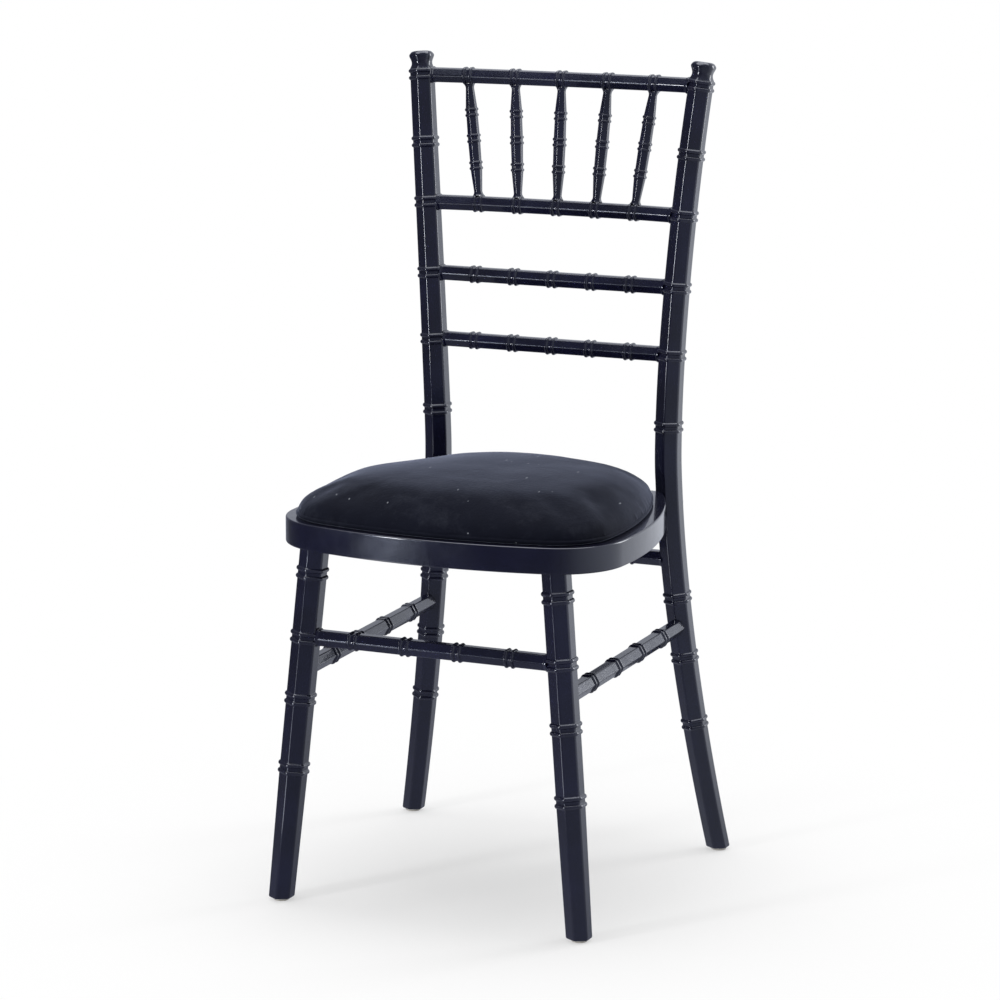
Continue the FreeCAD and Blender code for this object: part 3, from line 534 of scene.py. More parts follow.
def rounded_profile(corners, steps=4):
    """Closed outline through corners (inset, z, radius), each one rounded off."""
    points = []
    count = len(corners)
    for index, (u, v, radius) in enumerate(corners):
        here = Vector((u, v))
        back = (Vector(corners[index - 1][:2]) - here).normalized()
        ahead = (Vector(corners[(index + 1) % count][:2]) - here).normalized()
        half = back.angle(ahead) / 2
        start = here + back * (radius / math.tan(half))
        hub = here + (back + ahead).normalized() * (radius / math.sin(half))
        turn = (start - hub).angle_signed(here + ahead * (radius / math.tan(half)) - hub)
        for step in range(steps + 1):
            points.append(hub + Matrix.Rotation(-turn * step / steps, 2) @ (start - hub))
    return points


REBATE = SEAT_MEMBER_WIDTH - LEDGE_WIDTH
RIM_PROFILE = rounded_profile([(0, SEAT_BOTTOM, RIM_ROUND), (0, SEAT_TOP, RIM_ROUND),
                               (REBATE, SEAT_TOP, REBATE_ROUND), (REBATE, LEDGE_Z, REBATE_CORNER),
                               (SEAT_MEMBER_WIDTH, LEDGE_Z, REBATE_ROUND),
                               (SEAT_MEMBER_WIDTH, SEAT_BOTTOM, REBATE_ROUND)])


def cut_by_post(inset, z):
    """Angle where the side arc meets the post's flat, and the point where the rear edge does."""
    centre, radius = SIDE_ARC
    middle, facing, _ = seat_flat()
    limit = middle + facing * 0.05
    last = side_end_angle(inset)

    def beyond(point):
        return (limit - point).dot(facing)

    corner = centre + facing_out(last) * (radius - inset) + UP * z
    if beyond(corner) <= 0:
        return last, corner
    low, high = SEAT_CORNER_ANGLE, last
    for _ in range(30):
        half = (low + high) / 2
        if beyond(centre + facing_out(half) * (radius - inset) + UP * z) > 0:
            high = half
        else:
            low = half
    on_rear = corner - RIGHT * (beyond(corner) / -RIGHT.dot(facing))
    return low, on_rear


def rim_point(arc, angle, inset, z):
    centre, radius = arc
    return centre + facing_out(angle) * (radius - inset) + UP * z


def rim_loop(arc, angle):
    return [rim_point(arc, angle, inset, z) for inset, z in RIM_PROFILE]


def straight_loop(x):
    """Rim's profile on the straight rear edge."""
    return [Vector((x, rear_corner().y - inset, z)) for inset, z in RIM_PROFILE]


def sweep(name, loops, node, material):
    """Closed ring-frame member through loops of the rim's profile."""
    count = len(loops[0])
    points = [point for loop in loops for point in loop]
    heights = [1.0 if abs(inset) < RIM_ROUND and z > SEAT_TOP - RIM_ROUND else 0.0
               for inset, z in RIM_PROFILE]
    faces = []
    for first in range(len(loops) - 1):
        for side in range(count):
            after = (side + 1) % count
            a = first * count
            faces.append((a + side, a + after, a + count + after, a + count + side))
    faces.append(tuple(range(count))[::-1])
    faces.append(tuple(range(len(points) - count, len(points))))
    made = mesh_object(name, points, faces, heights * len(loops))
    weigh_normals(made)
    dress(made, material, "frame", node)


def joint_shift(half_gap):
    """Angle that half the joint line takes on the corner arc."""
    return math.degrees(half_gap / CORNER_ARC[1])


def make_seat_frame():
    gap = joint_shift(JOINT_LINE / 2)
    right = []
    for step in range(17):
        right.append(rim_loop(FRONT_ARC, blend(0.0, SEAT_FRONT_ANGLE, step / 16)))
    for step in range(1, 7):
        right.append(rim_loop(CORNER_ARC, blend(SEAT_FRONT_ANGLE, FRONT_JOINT_ANGLE - gap, step / 6)))
    left = [mirrored(loop) for loop in reversed(right[1:])]
    sweep("wood_seat_front", left + right, "seat_frame_front", "lacquer")
    loops = []
    for step in range(29):
        loops.append(rim_loop(CORNER_ARC, blend(FRONT_JOINT_ANGLE + gap, SEAT_CORNER_ANGLE, step / 28)))
    cuts = [cut_by_post(inset, z) for inset, z in RIM_PROFILE]
    for step in range(1, 33):
        loop = []
        for (inset, z), (last, _) in zip(RIM_PROFILE, cuts):
            angle = blend(SEAT_CORNER_ANGLE, last, step / 32)
            loop.append(rim_point(SIDE_ARC, angle, inset, z))
        loops.append(loop)
    loops.append([on_rear for _, on_rear in cuts])
    loops.append(straight_loop(REAR_JOINT_X + JOINT_LINE / 2))
    sweep("wood_seat_right", loops, "seat_frame_right", "lacquer")
    sweep("wood_seat_left", [mirrored(loop) for loop in loops], "seat_frame_left", "lacquer")
    rear_x = REAR_JOINT_X - JOINT_LINE / 2
    sweep("wood_seat_rear", [straight_loop(-rear_x), straight_loop(rear_x)], "seat_frame_rear", "lacquer")


def turned(name, base, axis, profile, steps=40):
    """Turned piece: profile of (radius, height) along the axis, closed where the radius is zero."""
    side, other = cross_axes(axis, RIGHT if abs(axis.x) < 0.9 else UP)
    points = []
    faces = []
    for radius, height in profile:
        for step in range(steps):
            angle = 2 * math.pi * step / steps
            outward = side * math.cos(angle) + other * math.sin(angle)
            points.append(base + axis * height + outward * radius)
    for ring in range(len(profile) - 1):
        for step in range(steps):
            after = (step + 1) % steps
            a = ring * steps
            faces.append((a + step, a + after, a + steps + after, a + steps + step))
    faces.append(tuple(range(steps))[::-1])
    faces.append(tuple(range(len(points) - steps, len(points))))
    made = mesh_object(name, points, faces)
    weigh_normals(made)
    return made


def join(name, pieces):
    """One object from several loose ones."""
    bm = bmesh.new()
    for piece in pieces:
        bm.from_mesh(piece.data)
        bpy.data.objects.remove(piece)
    mesh = bpy.data.meshes.new(name)
    bm.to_mesh(mesh)
    bm.free()
    made = bpy.data.objects.new(name, mesh)
    bpy.context.scene.collection.objects.link(made)
    return made


def make_bolts():
    """Domed bolt heads on the outer rear flats of the posts."""
    middle, facing, _ = seat_flat()
    head = middle - facing * (post_width(SEAT_MIDDLE) - FLAT_DEPTH)
    profile = [(BOLT_HEAD_RADIUS, 0.0)]
    for step in range(1, 9):
        angle = math.radians(90 * step / 9)
        profile.append((BOLT_HEAD_RADIUS * math.cos(angle), BOLT_HEAD_HEIGHT * math.sin(angle)))
    heads = []
    for side in (1, -1):
        base = Vector((side * head.x, head.y, head.z))
        axis = Vector((-side * facing.x, -facing.y, -facing.z))
        heads.append(turned("bolt", base, axis, profile))
    made = join("bolt_heads", heads)
    dress(made, "bolt", "frame", "seat_bolts")


def make_glides():
    """Nylon glides with soft rims under the four feet."""
    discs = []
    for line in (leg_line, post_line):
        centre = line(0)[0]
        for side in (1, -1):
            base = Vector((side * centre.x, centre.y, 0))
            profile = [(8.0, 0.0), (8.5, 0.12), (8.85, 0.5), (9.0, 1.0), (9.0, GLIDE_THICKNESS - 0.1),
                       (8.9, GLIDE_THICKNESS)]
            discs.append(turned("glide", base, UP, profile, 48))
    made = join("nylon_glides", discs)
    dress(made, "glide", "frame", "foot_glides")


def pad_outline():
    """Points round the pad where it is widest, anticlockwise from the middle of the front."""
    last = side_end_angle(PAD_INSET, PAD_CORNER_RADIUS)
    side_centre, side_radius = SIDE_ARC
    rear = side_centre + facing_out(last) * (side_radius - PAD_INSET - PAD_CORNER_RADIUS)
    spans = [
        (FRONT_ARC[0], FRONT_ARC[1] - PAD_INSET, 0.0, SEAT_FRONT_ANGLE),
        (CORNER_ARC[0], CORNER_ARC[1] - PAD_INSET, SEAT_FRONT_ANGLE, SEAT_CORNER_ANGLE),
        (side_centre, side_radius - PAD_INSET, SEAT_CORNER_ANGLE, last),
        (rear, PAD_CORNER_RADIUS, last, 180.0),
    ]
    right = []
    for (centre, radius, first, final), steps in zip(spans, PAD_STEPS):
        for step in range(steps):
            right.append(centre + facing_out(blend(first, final, step / steps)) * radius)
    end = rear + facing_out(180.0) * PAD_CORNER_RADIUS
    rear_steps = 10
    for step in range(rear_steps):
        right.append(Vector((blend(end.x, 0.0, step / rear_steps), end.y, 0)))
    right.append(Vector((0, end.y, 0)))
    left = [Vector((-point.x, point.y, 0)) for point in reversed(right[1:-1])]
    return right + left


PAD_OUTLINE = pad_outline()
PAD_OUTLINE_FRONT = min(point.y for point in PAD_OUTLINE)
PAD_OUTLINE_REAR = max(point.y for point in PAD_OUTLINE)


def pad_ring(z, inset, roundness=0.0):
    """Pad's outline at height z, drawn in by scaling and, towards the crown, rounded to an ellipse."""
    middle = Vector((0, (SEAT_FRONT_Y + rear_corner().y) / 2, 0))
    half_width = max(point.x for point in PAD_OUTLINE)
    half_depth = (PAD_OUTLINE_REAR - PAD_OUTLINE_FRONT) / 2
    scale = 1 - inset / (SEAT_HALF_WIDTH - PAD_INSET)
    shift = UP * z - Vector((0, PAD_FORWARD, 0))
    loop = []
    for point in PAD_OUTLINE:
        arm = point - middle
        reach = math.hypot(arm.x / half_width, arm.y / half_depth)
        arm = arm * blend(1.0, 1 / reach, roundness)
        loop.append(middle + arm * scale + shift)
    return loop


def stacked(name, loops, closed=False):
    """Skin through loops of points, closed on itself or capped at both ends."""
    count = len(loops[0])
    points = [point for loop in loops for point in loop]
    faces = []
    for first in range(len(loops) - (0 if closed else 1)):
        a = first * count
        b = (first + 1) % len(loops) * count
        for side in range(count):
            after = (side + 1) % count
            faces.append((a + side, a + after, b + after, b + side))
    if not closed:
        faces.append(tuple(range(count))[::-1])
        faces.append(tuple(range(len(points) - count, len(points))))
    return mesh_object(name, points, faces)


def simulate(piece):
    """Blows the dome out like a stuffed cover, held where it is tied down to its board."""
    scene = bpy.context.scene
    bpy.context.view_layer.objects.active = piece
    remesh = piece.modifiers.new("remesh", "REMESH")
    remesh.mode = "VOXEL"
    remesh.voxel_size = VOXEL * MM
    bpy.ops.object.modifier_apply(modifier="remesh")
    start = [vertex.co.copy() for vertex in piece.data.vertices]
    hold_z = (PAD_BOTTOM + ROLL_HEIGHT + 2.0) * MM
    held = [vertex.index for vertex in piece.data.vertices if vertex.co.z < hold_z]
    piece.vertex_groups.new(name="held").add(held, 1.0, "REPLACE")
    cloth = piece.modifiers.new("cloth", "CLOTH")
    for setting, value in CLOTH_SETTINGS.items():
        setattr(cloth.settings, setting, value)
    cloth.settings.effector_weights.gravity = 0
    cloth.collision_settings.use_collision = False
    cloth.collision_settings.use_self_collision = False
    for step in range(1, CLOTH_FRAMES + 1):
        scene.frame_set(step)
    settled = piece.evaluated_get(bpy.context.evaluated_depsgraph_get())
    ends = [vertex.co.copy() for vertex in settled.data.vertices]
    piece.modifiers.remove(cloth)
    scene.frame_set(1)
    for vertex, begin, end in zip(piece.data.vertices, start, ends):
        move = end - begin
        if move.length > MOST_SWELL * MM:
            move = move.normalized() * (MOST_SWELL * MM)
        vertex.co = begin + move


def relax(piece, rounds):
    """Evens out the free part of the cover, above where it is tied to its board."""
    bm = bmesh.new()
    bm.from_mesh(piece.data)
    tied_z = (PAD_BOTTOM + ROLL_HEIGHT + 1.0) * MM
    free = [vertex for vertex in bm.verts if vertex.co.z > tied_z]
    for _ in range(rounds):
        bmesh.ops.smooth_vert(bm, verts=free, factor=0.5, use_axis_x=True, use_axis_y=True,
                              use_axis_z=True)
    bm.to_mesh(piece.data)
    bm.free()


def dimple(piece):
    """Slow unevenness of stuffed velvet, short pulls at its edge and the slump of its rear left."""
    low = PAD_BOTTOM * MM
    for vertex in piece.data.vertices:
        place = vertex.co
        rise = (place.z - low) / (PAD_CROWN * MM)
        slow = noise.noise(place * 11.0) * 0.9 + noise.noise(place * 27.0 + Vector((3, 7, 1))) * 0.35
        angle = math.atan2(place.y + 0.035, place.x)
        pull = noise.noise(Vector((math.cos(angle) * 9, math.sin(angle) * 9, 4.0)))
        near_edge = math.exp(-((rise - 0.24) / 0.13) ** 2)
        slumped = math.exp(-((place.x - SLUMP_X) / 0.075) ** 2 - ((place.y - SLUMP_Y) / 0.1) ** 2)
        swell = slow * min(1.0, rise * 2) * 0.7 + pull * near_edge * 0.18
        moved = place + vertex.normal * (swell * MM)
        moved.z -= slumped * SLUMP_DEPTH * min(1.0, rise * 1.6)
        vertex.co = moved


def cap_height(piece, top):
    """Keeps the crown at the height that the photograph shows."""
    highest = max(vertex.co.z for vertex in piece.data.vertices)
    low = (PAD_BOTTOM + ROLL_HEIGHT) * MM
    scale = (top * MM - low) / (highest - low)
    for vertex in piece.data.vertices:
        if vertex.co.z > low:
            vertex.co.z = low + (vertex.co.z - low) * scale


def make_cushion():
    """Crowned velvet cushion, which stands for the cover and the foam in it."""
    loops = []
    for share, inset in DOME_LEVELS:
        free = min(1.0, max(0.0, (share - DOME_FREE_FROM) / DOME_FREE_FROM))
        roundness = max(0.0, (share - DOME_ROUND_FROM) / (1 - DOME_ROUND_FROM)) * DOME_ROUNDNESS
        height = PAD_BOTTOM + share * PAD_CROWN
        loops.append(pad_ring(height, inset + DOME_START_INSET * free, roundness))
    cushion = stacked("velvet_cushion", loops)
    simulate(cushion)
    relax(cushion, RELAX_ROUNDS)
    cap_height(cushion, PAD_BOTTOM + PAD_CROWN + PAD_SPRING)
    dimple(cushion)
    cushion.data.polygons.foreach_set("use_smooth", [True] * len(cushion.data.polygons))
    smooth = cushion.modifiers.new("smooth", "SUBSURF")
    smooth.levels = 1
    smooth.render_levels = 1
    dress(cushion, "velvet", "pad", "pad_cover", "pad_foam")


def make_edge_roll():
    """Wrapped roll that the cover makes round the foot of the pad."""
    loops = []
    for step in range(ROLL_STEPS):
        angle = 2 * math.pi * step / ROLL_STEPS
        height = ROLL_HEIGHT / 2 * (1 + math.sin(angle))
        loops.append(pad_ring(PAD_BOTTOM + height, ROLL_INSET - ROLL_REACH * math.cos(angle)))
    border = stacked("velvet_edge_roll", loops, closed=True)
    weigh_normals(border, 80.0)
    dress(border, "velvet", "pad")


def make_hem():
    loops = [pad_ring(PAD_BOTTOM + rise, inset) for rise, inset in HEM_CORNERS]
    hem = stacked("velvet_hem", loops, closed=True)
    weigh_normals(hem)
    dress(hem, "velvet", "pad")


def nodes_of(material):
    material.use_nodes = True
    tree = material.node_tree
    return tree, tree.nodes["Principled BSDF"]


def add(tree, kind, **values):
    """New node with its properties and its inputs by name."""
    made = tree.nodes.new(kind)
    for key, value in values.items():
        if key in made.inputs:
            made.inputs[key].default_value = value
        else:
            setattr(made, key, value)
    return made


def object_noise(tree, scale, detail=3.0, roughness=0.55, stretch=None):
    """Noise over the object's own coordinates, in turns per metre."""
    place = add(tree, "ShaderNodeTexCoord")
    source = place.outputs["Object"]
    if stretch:
        mapping = add(tree, "ShaderNodeMapping")
        mapping.inputs["Scale"].default_value = stretch
        tree.links.new(source, mapping.inputs["Vector"])
        source = mapping.outputs["Vector"]
    made = add(tree, "ShaderNodeTexNoise", Scale=scale, Detail=detail, Roughness=roughness)
    tree.links.new(source, made.inputs["Vector"])
    return made.outputs["Fac"]


def ramp(tree, source, stops):
    made = add(tree, "ShaderNodeValToRGB")
    elements = made.color_ramp.elements
    while len(elements) < len(stops):
        elements.new(0.5)
    for element, (place, color) in zip(elements, stops):
        element.position = place
        element.color = (*color, 1) if isinstance(color, tuple) else (color, color, color, 1)
    tree.links.new(source, made.inputs["Fac"])
    return made.outputs["Color"]


def mix_color(tree, factor, first, second):
    made = add(tree, "ShaderNodeMix", data_type="RGBA")
    tree.links.new(factor, made.inputs["Factor"])
    for value, socket in ((first, made.inputs[6]), (second, made.inputs[7])):
        if isinstance(value, tuple):
            socket.default_value = (*value, 1)
        else:
            tree.links.new(value, socket)
    return made.outputs[2]


def math_node(tree, operation, first, second=None):
    made = add(tree, "ShaderNodeMath", operation=operation)
    for value, socket in ((first, made.inputs[0]), (second, made.inputs[1])):
        if value is None:
            continue
        if isinstance(value, (int, float)):
            socket.default_value = value
        else:
            tree.links.new(value, socket)
    return made.outputs[0]


def along(tree, place, direction):
    """How far the place lies along a direction."""
    made = add(tree, "ShaderNodeVectorMath", operation="DOT_PRODUCT")
    tree.links.new(place, made.inputs[0])
    made.inputs[1].default_value = direction
    return made.outputs["Value"]


def mix_shader(tree, factor, first, second):
    made = add(tree, "ShaderNodeMixShader")
    for source, socket in zip((factor, first, second), made.inputs):
        tree.links.new(source, socket)
    return made.outputs[0]


def bump(tree, height, strength, distance, before=None):
    made = add(tree, "ShaderNodeBump", Strength=strength, Distance=distance)
    tree.links.new(height, made.inputs["Height"])
    if before:
        tree.links.new(before, made.inputs["Normal"])
    return made.outputs["Normal"]


LACQUER_DARK = (0.0040, 0.0041, 0.0120)
LACQUER_LIGHT = (0.0066, 0.0070, 0.0245)
LACQUER_WORN = (0.022, 0.022, 0.034)


def lacquer_material():
    """Deep gloss lacquer, near black with a blue cast, over wood whose grain barely shows."""
    material = bpy.data.materials.new("black_lacquer")
    tree, shader = nodes_of(material)
    cloudy = ramp(tree, object_noise(tree, 14.0, 4.0), [(0.35, LACQUER_DARK), (0.7, LACQUER_LIGHT)])
    mask = add(tree, "ShaderNodeAttribute", attribute_name="edge_mask")
    broken = math_node(tree, "MULTIPLY", mask.outputs["Fac"], object_noise(tree, 90.0, 3.0))
    worn = math_node(tree, "MULTIPLY", broken, 0.55)
    tree.links.new(mix_color(tree, worn, cloudy, LACQUER_WORN), shader.inputs["Base Color"])
    rough = ramp(tree, object_noise(tree, 30.0, 5.0), [(0.3, 0.15), (0.75, 0.27)])
    tree.links.new(rough, shader.inputs["Roughness"])
    shader.inputs["Specular IOR Level"].default_value = 0.5
    shader.inputs["Specular Tint"].default_value = (0.72, 0.8, 1.0, 1)
    shader.inputs["Coat Weight"].default_value = 0.9
    shader.inputs["Coat Roughness"].default_value = 0.045
    grain = object_noise(tree, 60.0, 4.0, 0.6, (9.0, 9.0, 0.5))
    normal = bump(tree, grain, 0.25, 0.0002)
    ripple = object_noise(tree, 75.0, 2.0)
    normal = bump(tree, ripple, 0.22, 0.0006, normal)
    tree.links.new(normal, shader.inputs["Normal"])
    tree.links.new(bump(tree, ripple, 0.05, 0.0006), shader.inputs["Coat Normal"])
    return material


def bolt_material():
    material = bpy.data.materials.new("bolt_lacquer")
    tree, shader = nodes_of(material)
    tone = ramp(tree, object_noise(tree, 120.0), [(0.3, LACQUER_DARK), (0.8, LACQUER_WORN)])
    tree.links.new(tone, shader.inputs["Base Color"])
    rough = ramp(tree, object_noise(tree, 200.0), [(0.3, 0.16), (0.8, 0.3)])
    tree.links.new(rough, shader.inputs["Roughness"])
    shader.inputs["Coat Weight"].default_value = 0.6
    tree.links.new(bump(tree, object_noise(tree, 260.0), 0.2, 0.0004), shader.inputs["Normal"])
    return material


VELVET_DARK = (0.0018, 0.0026, 0.0078)
VELVET_LIGHT = (0.0046, 0.0060, 0.0140)
VELVET_DUST = (0.0190, 0.0215, 0.0320)
LINT = (0.30, 0.32, 0.36)


def velvet_material():
    """Short-pile velvet: dark face on, with a soft sheen at a glance, brushed patches and lint."""
    material = bpy.data.materials.new("navy_velvet")
    tree, shader = nodes_of(material)
    brushed = object_noise(tree, 9.0, 4.0, 0.6)
    fine = object_noise(tree, 420.0, 2.0)
    tone = ramp(tree, brushed, [(0.34, VELVET_DARK), (0.68, VELVET_LIGHT)])
    dusty = ramp(tree, object_noise(tree, 24.0, 6.0, 0.7), [(0.5, 0.0), (0.66, 1.0)])
    speckle = math_node(tree, "MULTIPLY", math_node(tree, "MULTIPLY", fine, dusty), 0.9)
    tone = mix_color(tree, speckle, tone, VELVET_DUST)
    place = add(tree, "ShaderNodeTexCoord")
    flecks = add(tree, "ShaderNodeTexVoronoi", Scale=120.0, feature="F1", Randomness=1.0)
    bent = add(tree, "ShaderNodeMapping")
    bent.inputs["Scale"].default_value = (1.0, 0.28, 1.0)
    bent.inputs["Rotation"].default_value = (0.0, 0.0, 0.7)
    tree.links.new(place.outputs["Object"], bent.inputs["Vector"])
    tree.links.new(bent.outputs["Vector"], flecks.inputs["Vector"])
    close = math_node(tree, "LESS_THAN", flecks.outputs["Distance"], 0.1)
    chosen = add(tree, "ShaderNodeSeparateColor")
    tree.links.new(flecks.outputs["Color"], chosen.inputs["Color"])
    rare = math_node(tree, "GREATER_THAN", chosen.outputs["Red"], 0.72)
    lint = math_node(tree, "MULTIPLY", math_node(tree, "MULTIPLY", close, rare), 0.6)
    tree.links.new(mix_color(tree, lint, tone, LINT), shader.inputs["Base Color"])
    shader.inputs["Roughness"].default_value = 0.85
    shader.inputs["Specular IOR Level"].default_value = 0.12
    shader.inputs["Sheen Weight"].default_value = 0.5
    shader.inputs["Sheen Roughness"].default_value = 0.32
    shader.inputs["Sheen Tint"].default_value = (0.52, 0.58, 0.8, 1)
    normal = bump(tree, fine, 0.5, 0.0006)
    normal = bump(tree, brushed, 0.35, 0.004, normal)
    tree.links.new(normal, shader.inputs["Normal"])
    return material


def grained(name, field, tones, roughness, relief=None, stipple=None, metallic=0.0):
    """Material whose colour, roughness and relief follow one noise field over the object."""
    material = bpy.data.materials.new(name)
    tree, shader = nodes_of(material)
    grain = object_noise(tree, *field)
    tree.links.new(ramp(tree, grain, tones), shader.inputs["Base Color"])
    if isinstance(roughness, float):
        shader.inputs["Roughness"].default_value = roughness
    else:
        tree.links.new(ramp(tree, grain, roughness), shader.inputs["Roughness"])
    shader.inputs["Metallic"].default_value = metallic
    normal = None
    if relief:
        normal = bump(tree, grain, *relief)
    if stipple:
        scale, detail, strength, distance = stipple
        normal = bump(tree, object_noise(tree, scale, detail), strength, distance, normal)
    if normal:
        tree.links.new(normal, shader.inputs["Normal"])
    return material


PLY_GRAIN = (18.0, 6.0, 0.65, (14.0, 1.0, 1.0))
BEECH_FLECK = (160.0, 4.0, 0.6, (1.0, 1.0, 0.2))


def painted_material():
    """Satin black paint rolled over plywood, with the grain just telegraphing through."""
    tones = [(0.3, (0.006, 0.006, 0.010)), (0.75, (0.013, 0.013, 0.018))]
    return grained("painted_panel", PLY_GRAIN, tones, [(0.2, 0.38), (0.8, 0.55)],
                   relief=(0.2, 0.0004), stipple=(190.0, 2.0, 0.2, 0.0005))


def plywood_material():
    return grained("birch_plywood", PLY_GRAIN, [(0.3, (0.42, 0.27, 0.15)), (0.7, (0.62, 0.45, 0.28))],
                   [(0.2, 0.55), (0.8, 0.75)], relief=(0.3, 0.0005))


def beech_material():
    return grained("raw_beech", BEECH_FLECK, [(0.3, (0.44, 0.26, 0.15)), (0.7, (0.63, 0.43, 0.28))],
                   0.7, relief=(0.3, 0.0003))


def zinc_material():
    return grained("zinc_plate", (300.0, 3.0), [(0.3, (0.42, 0.42, 0.41)), (0.7, (0.62, 0.61, 0.56))],
                   [(0.2, 0.28), (0.8, 0.48)], metallic=1.0)


def glide_material():
    return grained("nylon_glide", (240.0, 4.0), [(0.3, (0.5, 0.48, 0.44)), (0.7, (0.68, 0.66, 0.61))],
                   [(0.2, 0.35), (0.8, 0.6)], relief=(0.2, 0.0003))


def tape_material():
    """Hook and loop tape: rows of tiny hooks in black nylon."""
    material = bpy.data.materials.new("hook_tape")
    tree, shader = nodes_of(material)
    place = add(tree, "ShaderNodeTexCoord")
    hooks = add(tree, "ShaderNodeTexVoronoi", Scale=900.0)
    tree.links.new(place.outputs["Object"], hooks.inputs["Vector"])
    nylon = [(0.1, (0.05, 0.05, 0.055)), (0.6, (0.012, 0.012, 0.014))]
    tone = ramp(tree, hooks.outputs["Distance"], nylon)
    tree.links.new(tone, shader.inputs["Base Color"])
    shader.inputs["Roughness"].default_value = 0.7
    tree.links.new(bump(tree, hooks.outputs["Distance"], 0.8, 0.0006), shader.inputs["Normal"])
    return material


MATERIALS = {
    "lacquer": lacquer_material(),
    "bolt": bolt_material(),
    "velvet": velvet_material(),
    "painted": painted_material(),
    "plywood": plywood_material(),
    "beech": beech_material(),
    "zinc": zinc_material(),
    "glide": glide_material(),
    "tape": tape_material(),
}
CARRIED_OVER = {
    "seat_panel": "painted",
    "pad_board": "plywood",
    "frame_tongues": "beech",
    "panel_screws": "zinc",
    "glide_nails": "zinc",
    "hook_strips": "tape",
    "loop_strips": "tape",
}


def dress_cad_nodes():
    for node, material in CARRIED_OVER.items():
        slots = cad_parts[node].data.materials
        slots.clear()
        slots.append(MATERIALS[material])


# Tones of the studio as gloss shows it, from the dark left front to the pale right rear
STUDIO_TONES = [(0.0, (0.06, 0.063, 0.08)), (0.2, (0.08, 0.084, 0.105)), (0.45, (0.2, 0.21, 0.26)),
                (0.65, (0.42, 0.44, 0.5)), (0.95, (0.72, 0.75, 0.82))]
PALE_WALL = (0.375, 0.33, 0.0)
PALE_FLOOR = (0.2, 0.18, 0.0)
SOFT_LIGHT = (0.42, 0.42, 0.42)


def world_light():
    """White seen straight on, an even grey for soft light, and a shaded studio for reflections."""
    world = bpy.data.worlds.new("studio")
    bpy.context.scene.world = world
    world.use_nodes = True
    tree = world.node_tree
    tree.nodes.clear()
    output = add(tree, "ShaderNodeOutputWorld")
    place = add(tree, "ShaderNodeTexCoord")
    toward = along(tree, place.outputs["Generated"], PALE_WALL)
    walls = ramp(tree, math_node(tree, "ADD", toward, 0.5), STUDIO_TONES)
    path = add(tree, "ShaderNodeLightPath")
    plain = mix_color(tree, path.outputs["Is Glossy Ray"], SOFT_LIGHT, walls)
    studio = add(tree, "ShaderNodeBackground", Strength=1.0)
    tree.links.new(plain, studio.inputs["Color"])
    white = add(tree, "ShaderNodeBackground", Strength=1.0)
    white.inputs["Color"].default_value = (1, 1, 1, 1)
    seen = mix_shader(tree, path.outputs["Is Camera Ray"], studio.outputs[0], white.outputs[0])
    tree.links.new(seen, output.inputs["Surface"])


def area_light(name, place, target, size, power):
    light = bpy.data.lights.new(name, "AREA")
    light.shape = "RECTANGLE"
    light.size, light.size_y = size
    light.energy = power
    made = bpy.data.objects.new(name, light)
    bpy.context.scene.collection.objects.link(made)
    made.location = place
    made.rotation_euler = (Vector(target) - Vector(place)).to_track_quat("-Z", "Y").to_euler()


# Softboxes: name, place, point they face, size in metres and power in watts
SOFTBOXES = [
    ("left_softbox", (-1.65, -2.75, 0.75), (0, 0, 0.6), (0.36, 1.5), 44),
    ("rear_softbox", (2.1, 2.5, 1.3), (0, 0, 0.5), (1.0, 2.2), 34),
    ("top_softbox", (-0.2, 0.2, 2.9), (0, 0, 0.4), (2.8, 2.4), 54),
]


# Painted reflection of the left softbox: a glowing strip on the floor, seen only in reflections, which
# lays highlight lines on the legs and posts but not on the seat's rim
PAINTED_STRIP_GLOW = (3.0, 3.1, 3.3)
STRIP_AHEAD = (-0.515, -0.857, 0.0)
STRIP_SIDEWAYS = (0.857, -0.515, 0.0)
STRIP_HALF_WIDTH = 0.12
STRIP_START = 0.6
RIM_MIRROR = 2.3
RIM_MIRROR_REACH = 0.42
FLOOR_REACH = 6000.0


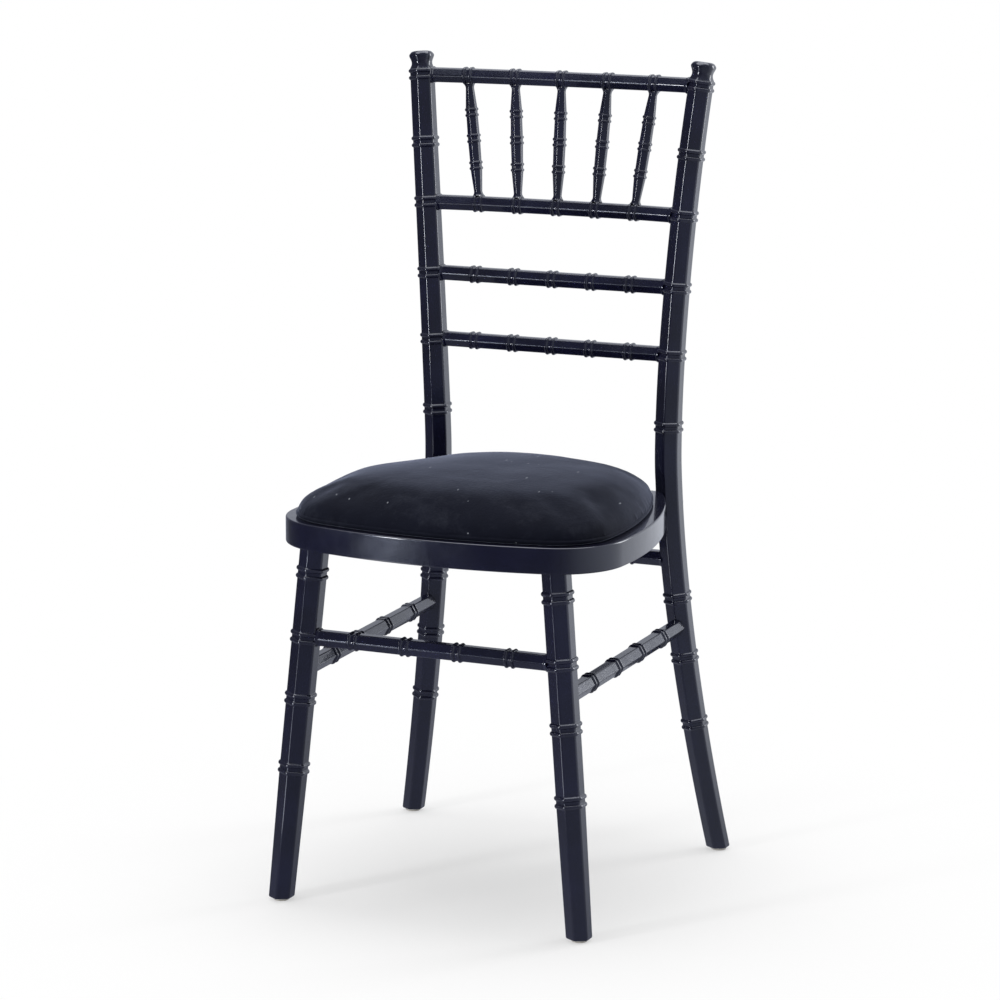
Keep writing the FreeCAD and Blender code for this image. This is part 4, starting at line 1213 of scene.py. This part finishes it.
def make_floor():
    """Wide pale floor that fades into the white behind it, and keeps the chair's soft shadow.

    In reflections it shows painted tones in place of its own lit colour, from dark at the camera's side
    to white behind, like the studio's walls, and a painted glowing strip for the left softbox.
    """
    sides = ((-1, -1), (1, -1), (1, 1), (-1, 1))
    corners = [Vector((x * FLOOR_REACH, y * FLOOR_REACH, 0)) for x, y in sides]
    floor = mesh_object("studio_floor", corners, [(0, 1, 2, 3)])
    material = bpy.data.materials.new("pale_floor")
    tree, shader = nodes_of(material)
    shader.inputs["Base Color"].default_value = (0.93, 0.93, 0.93, 1)
    shader.inputs["Roughness"].default_value = 0.9
    shader.inputs["Specular IOR Level"].default_value = 0.1
    place = add(tree, "ShaderNodeTexCoord")
    length = add(tree, "ShaderNodeVectorMath", operation="LENGTH")
    tree.links.new(place.outputs["Object"], length.inputs[0])
    half_length = math_node(tree, "MULTIPLY", length.outputs["Value"], 0.5)
    fade = ramp(tree, half_length, [(0.1, 0.45), (0.36, 1.0)])
    white = add(tree, "ShaderNodeEmission", Strength=1.0)
    white.inputs["Color"].default_value = (1, 1, 1, 1)
    path = add(tree, "ShaderNodeLightPath")
    seen = math_node(tree, "MULTIPLY", fade, path.outputs["Is Camera Ray"])
    faded = mix_shader(tree, seen, shader.outputs[0], white.outputs[0])
    # Painted reflection: for glossy rays the floor glows with the studio's tones and a bright strip in
    # place of its own lit colour
    painted_floor_reflection = add(tree, "ShaderNodeEmission", Strength=1.0)
    spot = place.outputs["Object"]
    tone = ramp(tree, math_node(tree, "ADD", along(tree, spot, PALE_FLOOR), 0.5), STUDIO_TONES)
    sideways = math_node(tree, "ABSOLUTE", along(tree, spot, STRIP_SIDEWAYS))
    ahead = along(tree, spot, STRIP_AHEAD)
    narrow = math_node(tree, "LESS_THAN", sideways, STRIP_HALF_WIDTH)
    near = math_node(tree, "GREATER_THAN", ahead, STRIP_START)
    from_rim = math_node(tree, "ABSOLUTE", math_node(tree, "SUBTRACT", ahead, RIM_MIRROR))
    off_rim = math_node(tree, "GREATER_THAN", from_rim, RIM_MIRROR_REACH)
    strip = math_node(tree, "MULTIPLY", math_node(tree, "MULTIPLY", narrow, near), off_rim)
    tree.links.new(mix_color(tree, strip, tone, PAINTED_STRIP_GLOW), painted_floor_reflection.inputs["Color"])
    reflected = mix_shader(tree, path.outputs["Is Glossy Ray"], faded, painted_floor_reflection.outputs[0])
    tree.links.new(reflected, tree.nodes["Material Output"].inputs["Surface"])
    floor.data.materials.append(material)


CAMERA_AZIMUTH = 23.736
CAMERA_ELEVATION = 11.577
CAMERA_ROLL = 0.236
CAMERA_PLACE = Vector((1640.41, -3750.23, 1263.35))
FOCAL_PIXELS = 3706.97
CENTRE_PIXEL = (491.56, 511.17)
IMAGE_PIXELS = 1000
SENSOR_WIDTH = 36.0


def make_camera():
    azimuth = math.radians(CAMERA_AZIMUTH)
    rise = math.radians(CAMERA_ELEVATION)
    roll = math.radians(CAMERA_ROLL)
    level = math.cos(rise)
    back = Vector((math.sin(azimuth) * level, -math.cos(azimuth) * level, math.sin(rise)))
    right = Vector((math.cos(azimuth), math.sin(azimuth), 0))
    up = back.cross(right)
    rolled_right = right * math.cos(roll) + up * math.sin(roll)
    rolled_up = up * math.cos(roll) - right * math.sin(roll)
    camera = bpy.data.cameras.new("camera")
    camera.sensor_width = SENSOR_WIDTH
    camera.lens = FOCAL_PIXELS / IMAGE_PIXELS * SENSOR_WIDTH
    camera.shift_x = (IMAGE_PIXELS / 2 - CENTRE_PIXEL[0]) / IMAGE_PIXELS
    camera.shift_y = (CENTRE_PIXEL[1] - IMAGE_PIXELS / 2) / IMAGE_PIXELS
    camera.clip_end = 50
    made = bpy.data.objects.new("camera", camera)
    bpy.context.scene.collection.objects.link(made)
    turn = Matrix((rolled_right, rolled_up, back)).transposed()
    made.matrix_world = Matrix.Translation(CAMERA_PLACE * MM) @ turn.to_4x4()
    bpy.context.scene.camera = made


make_camera()
world_light()
for softbox in SOFTBOXES:
    area_light(*softbox)
make_floor()
dress_cad_nodes()
make_posts()
make_legs()
make_rails()
make_side_stretchers()
make_spindles()
make_seat_frame()
make_bolts()
make_glides()
make_cushion()
make_edge_roll()
make_hem()
bpy.context.scene.view_settings.view_transform = "Standard"
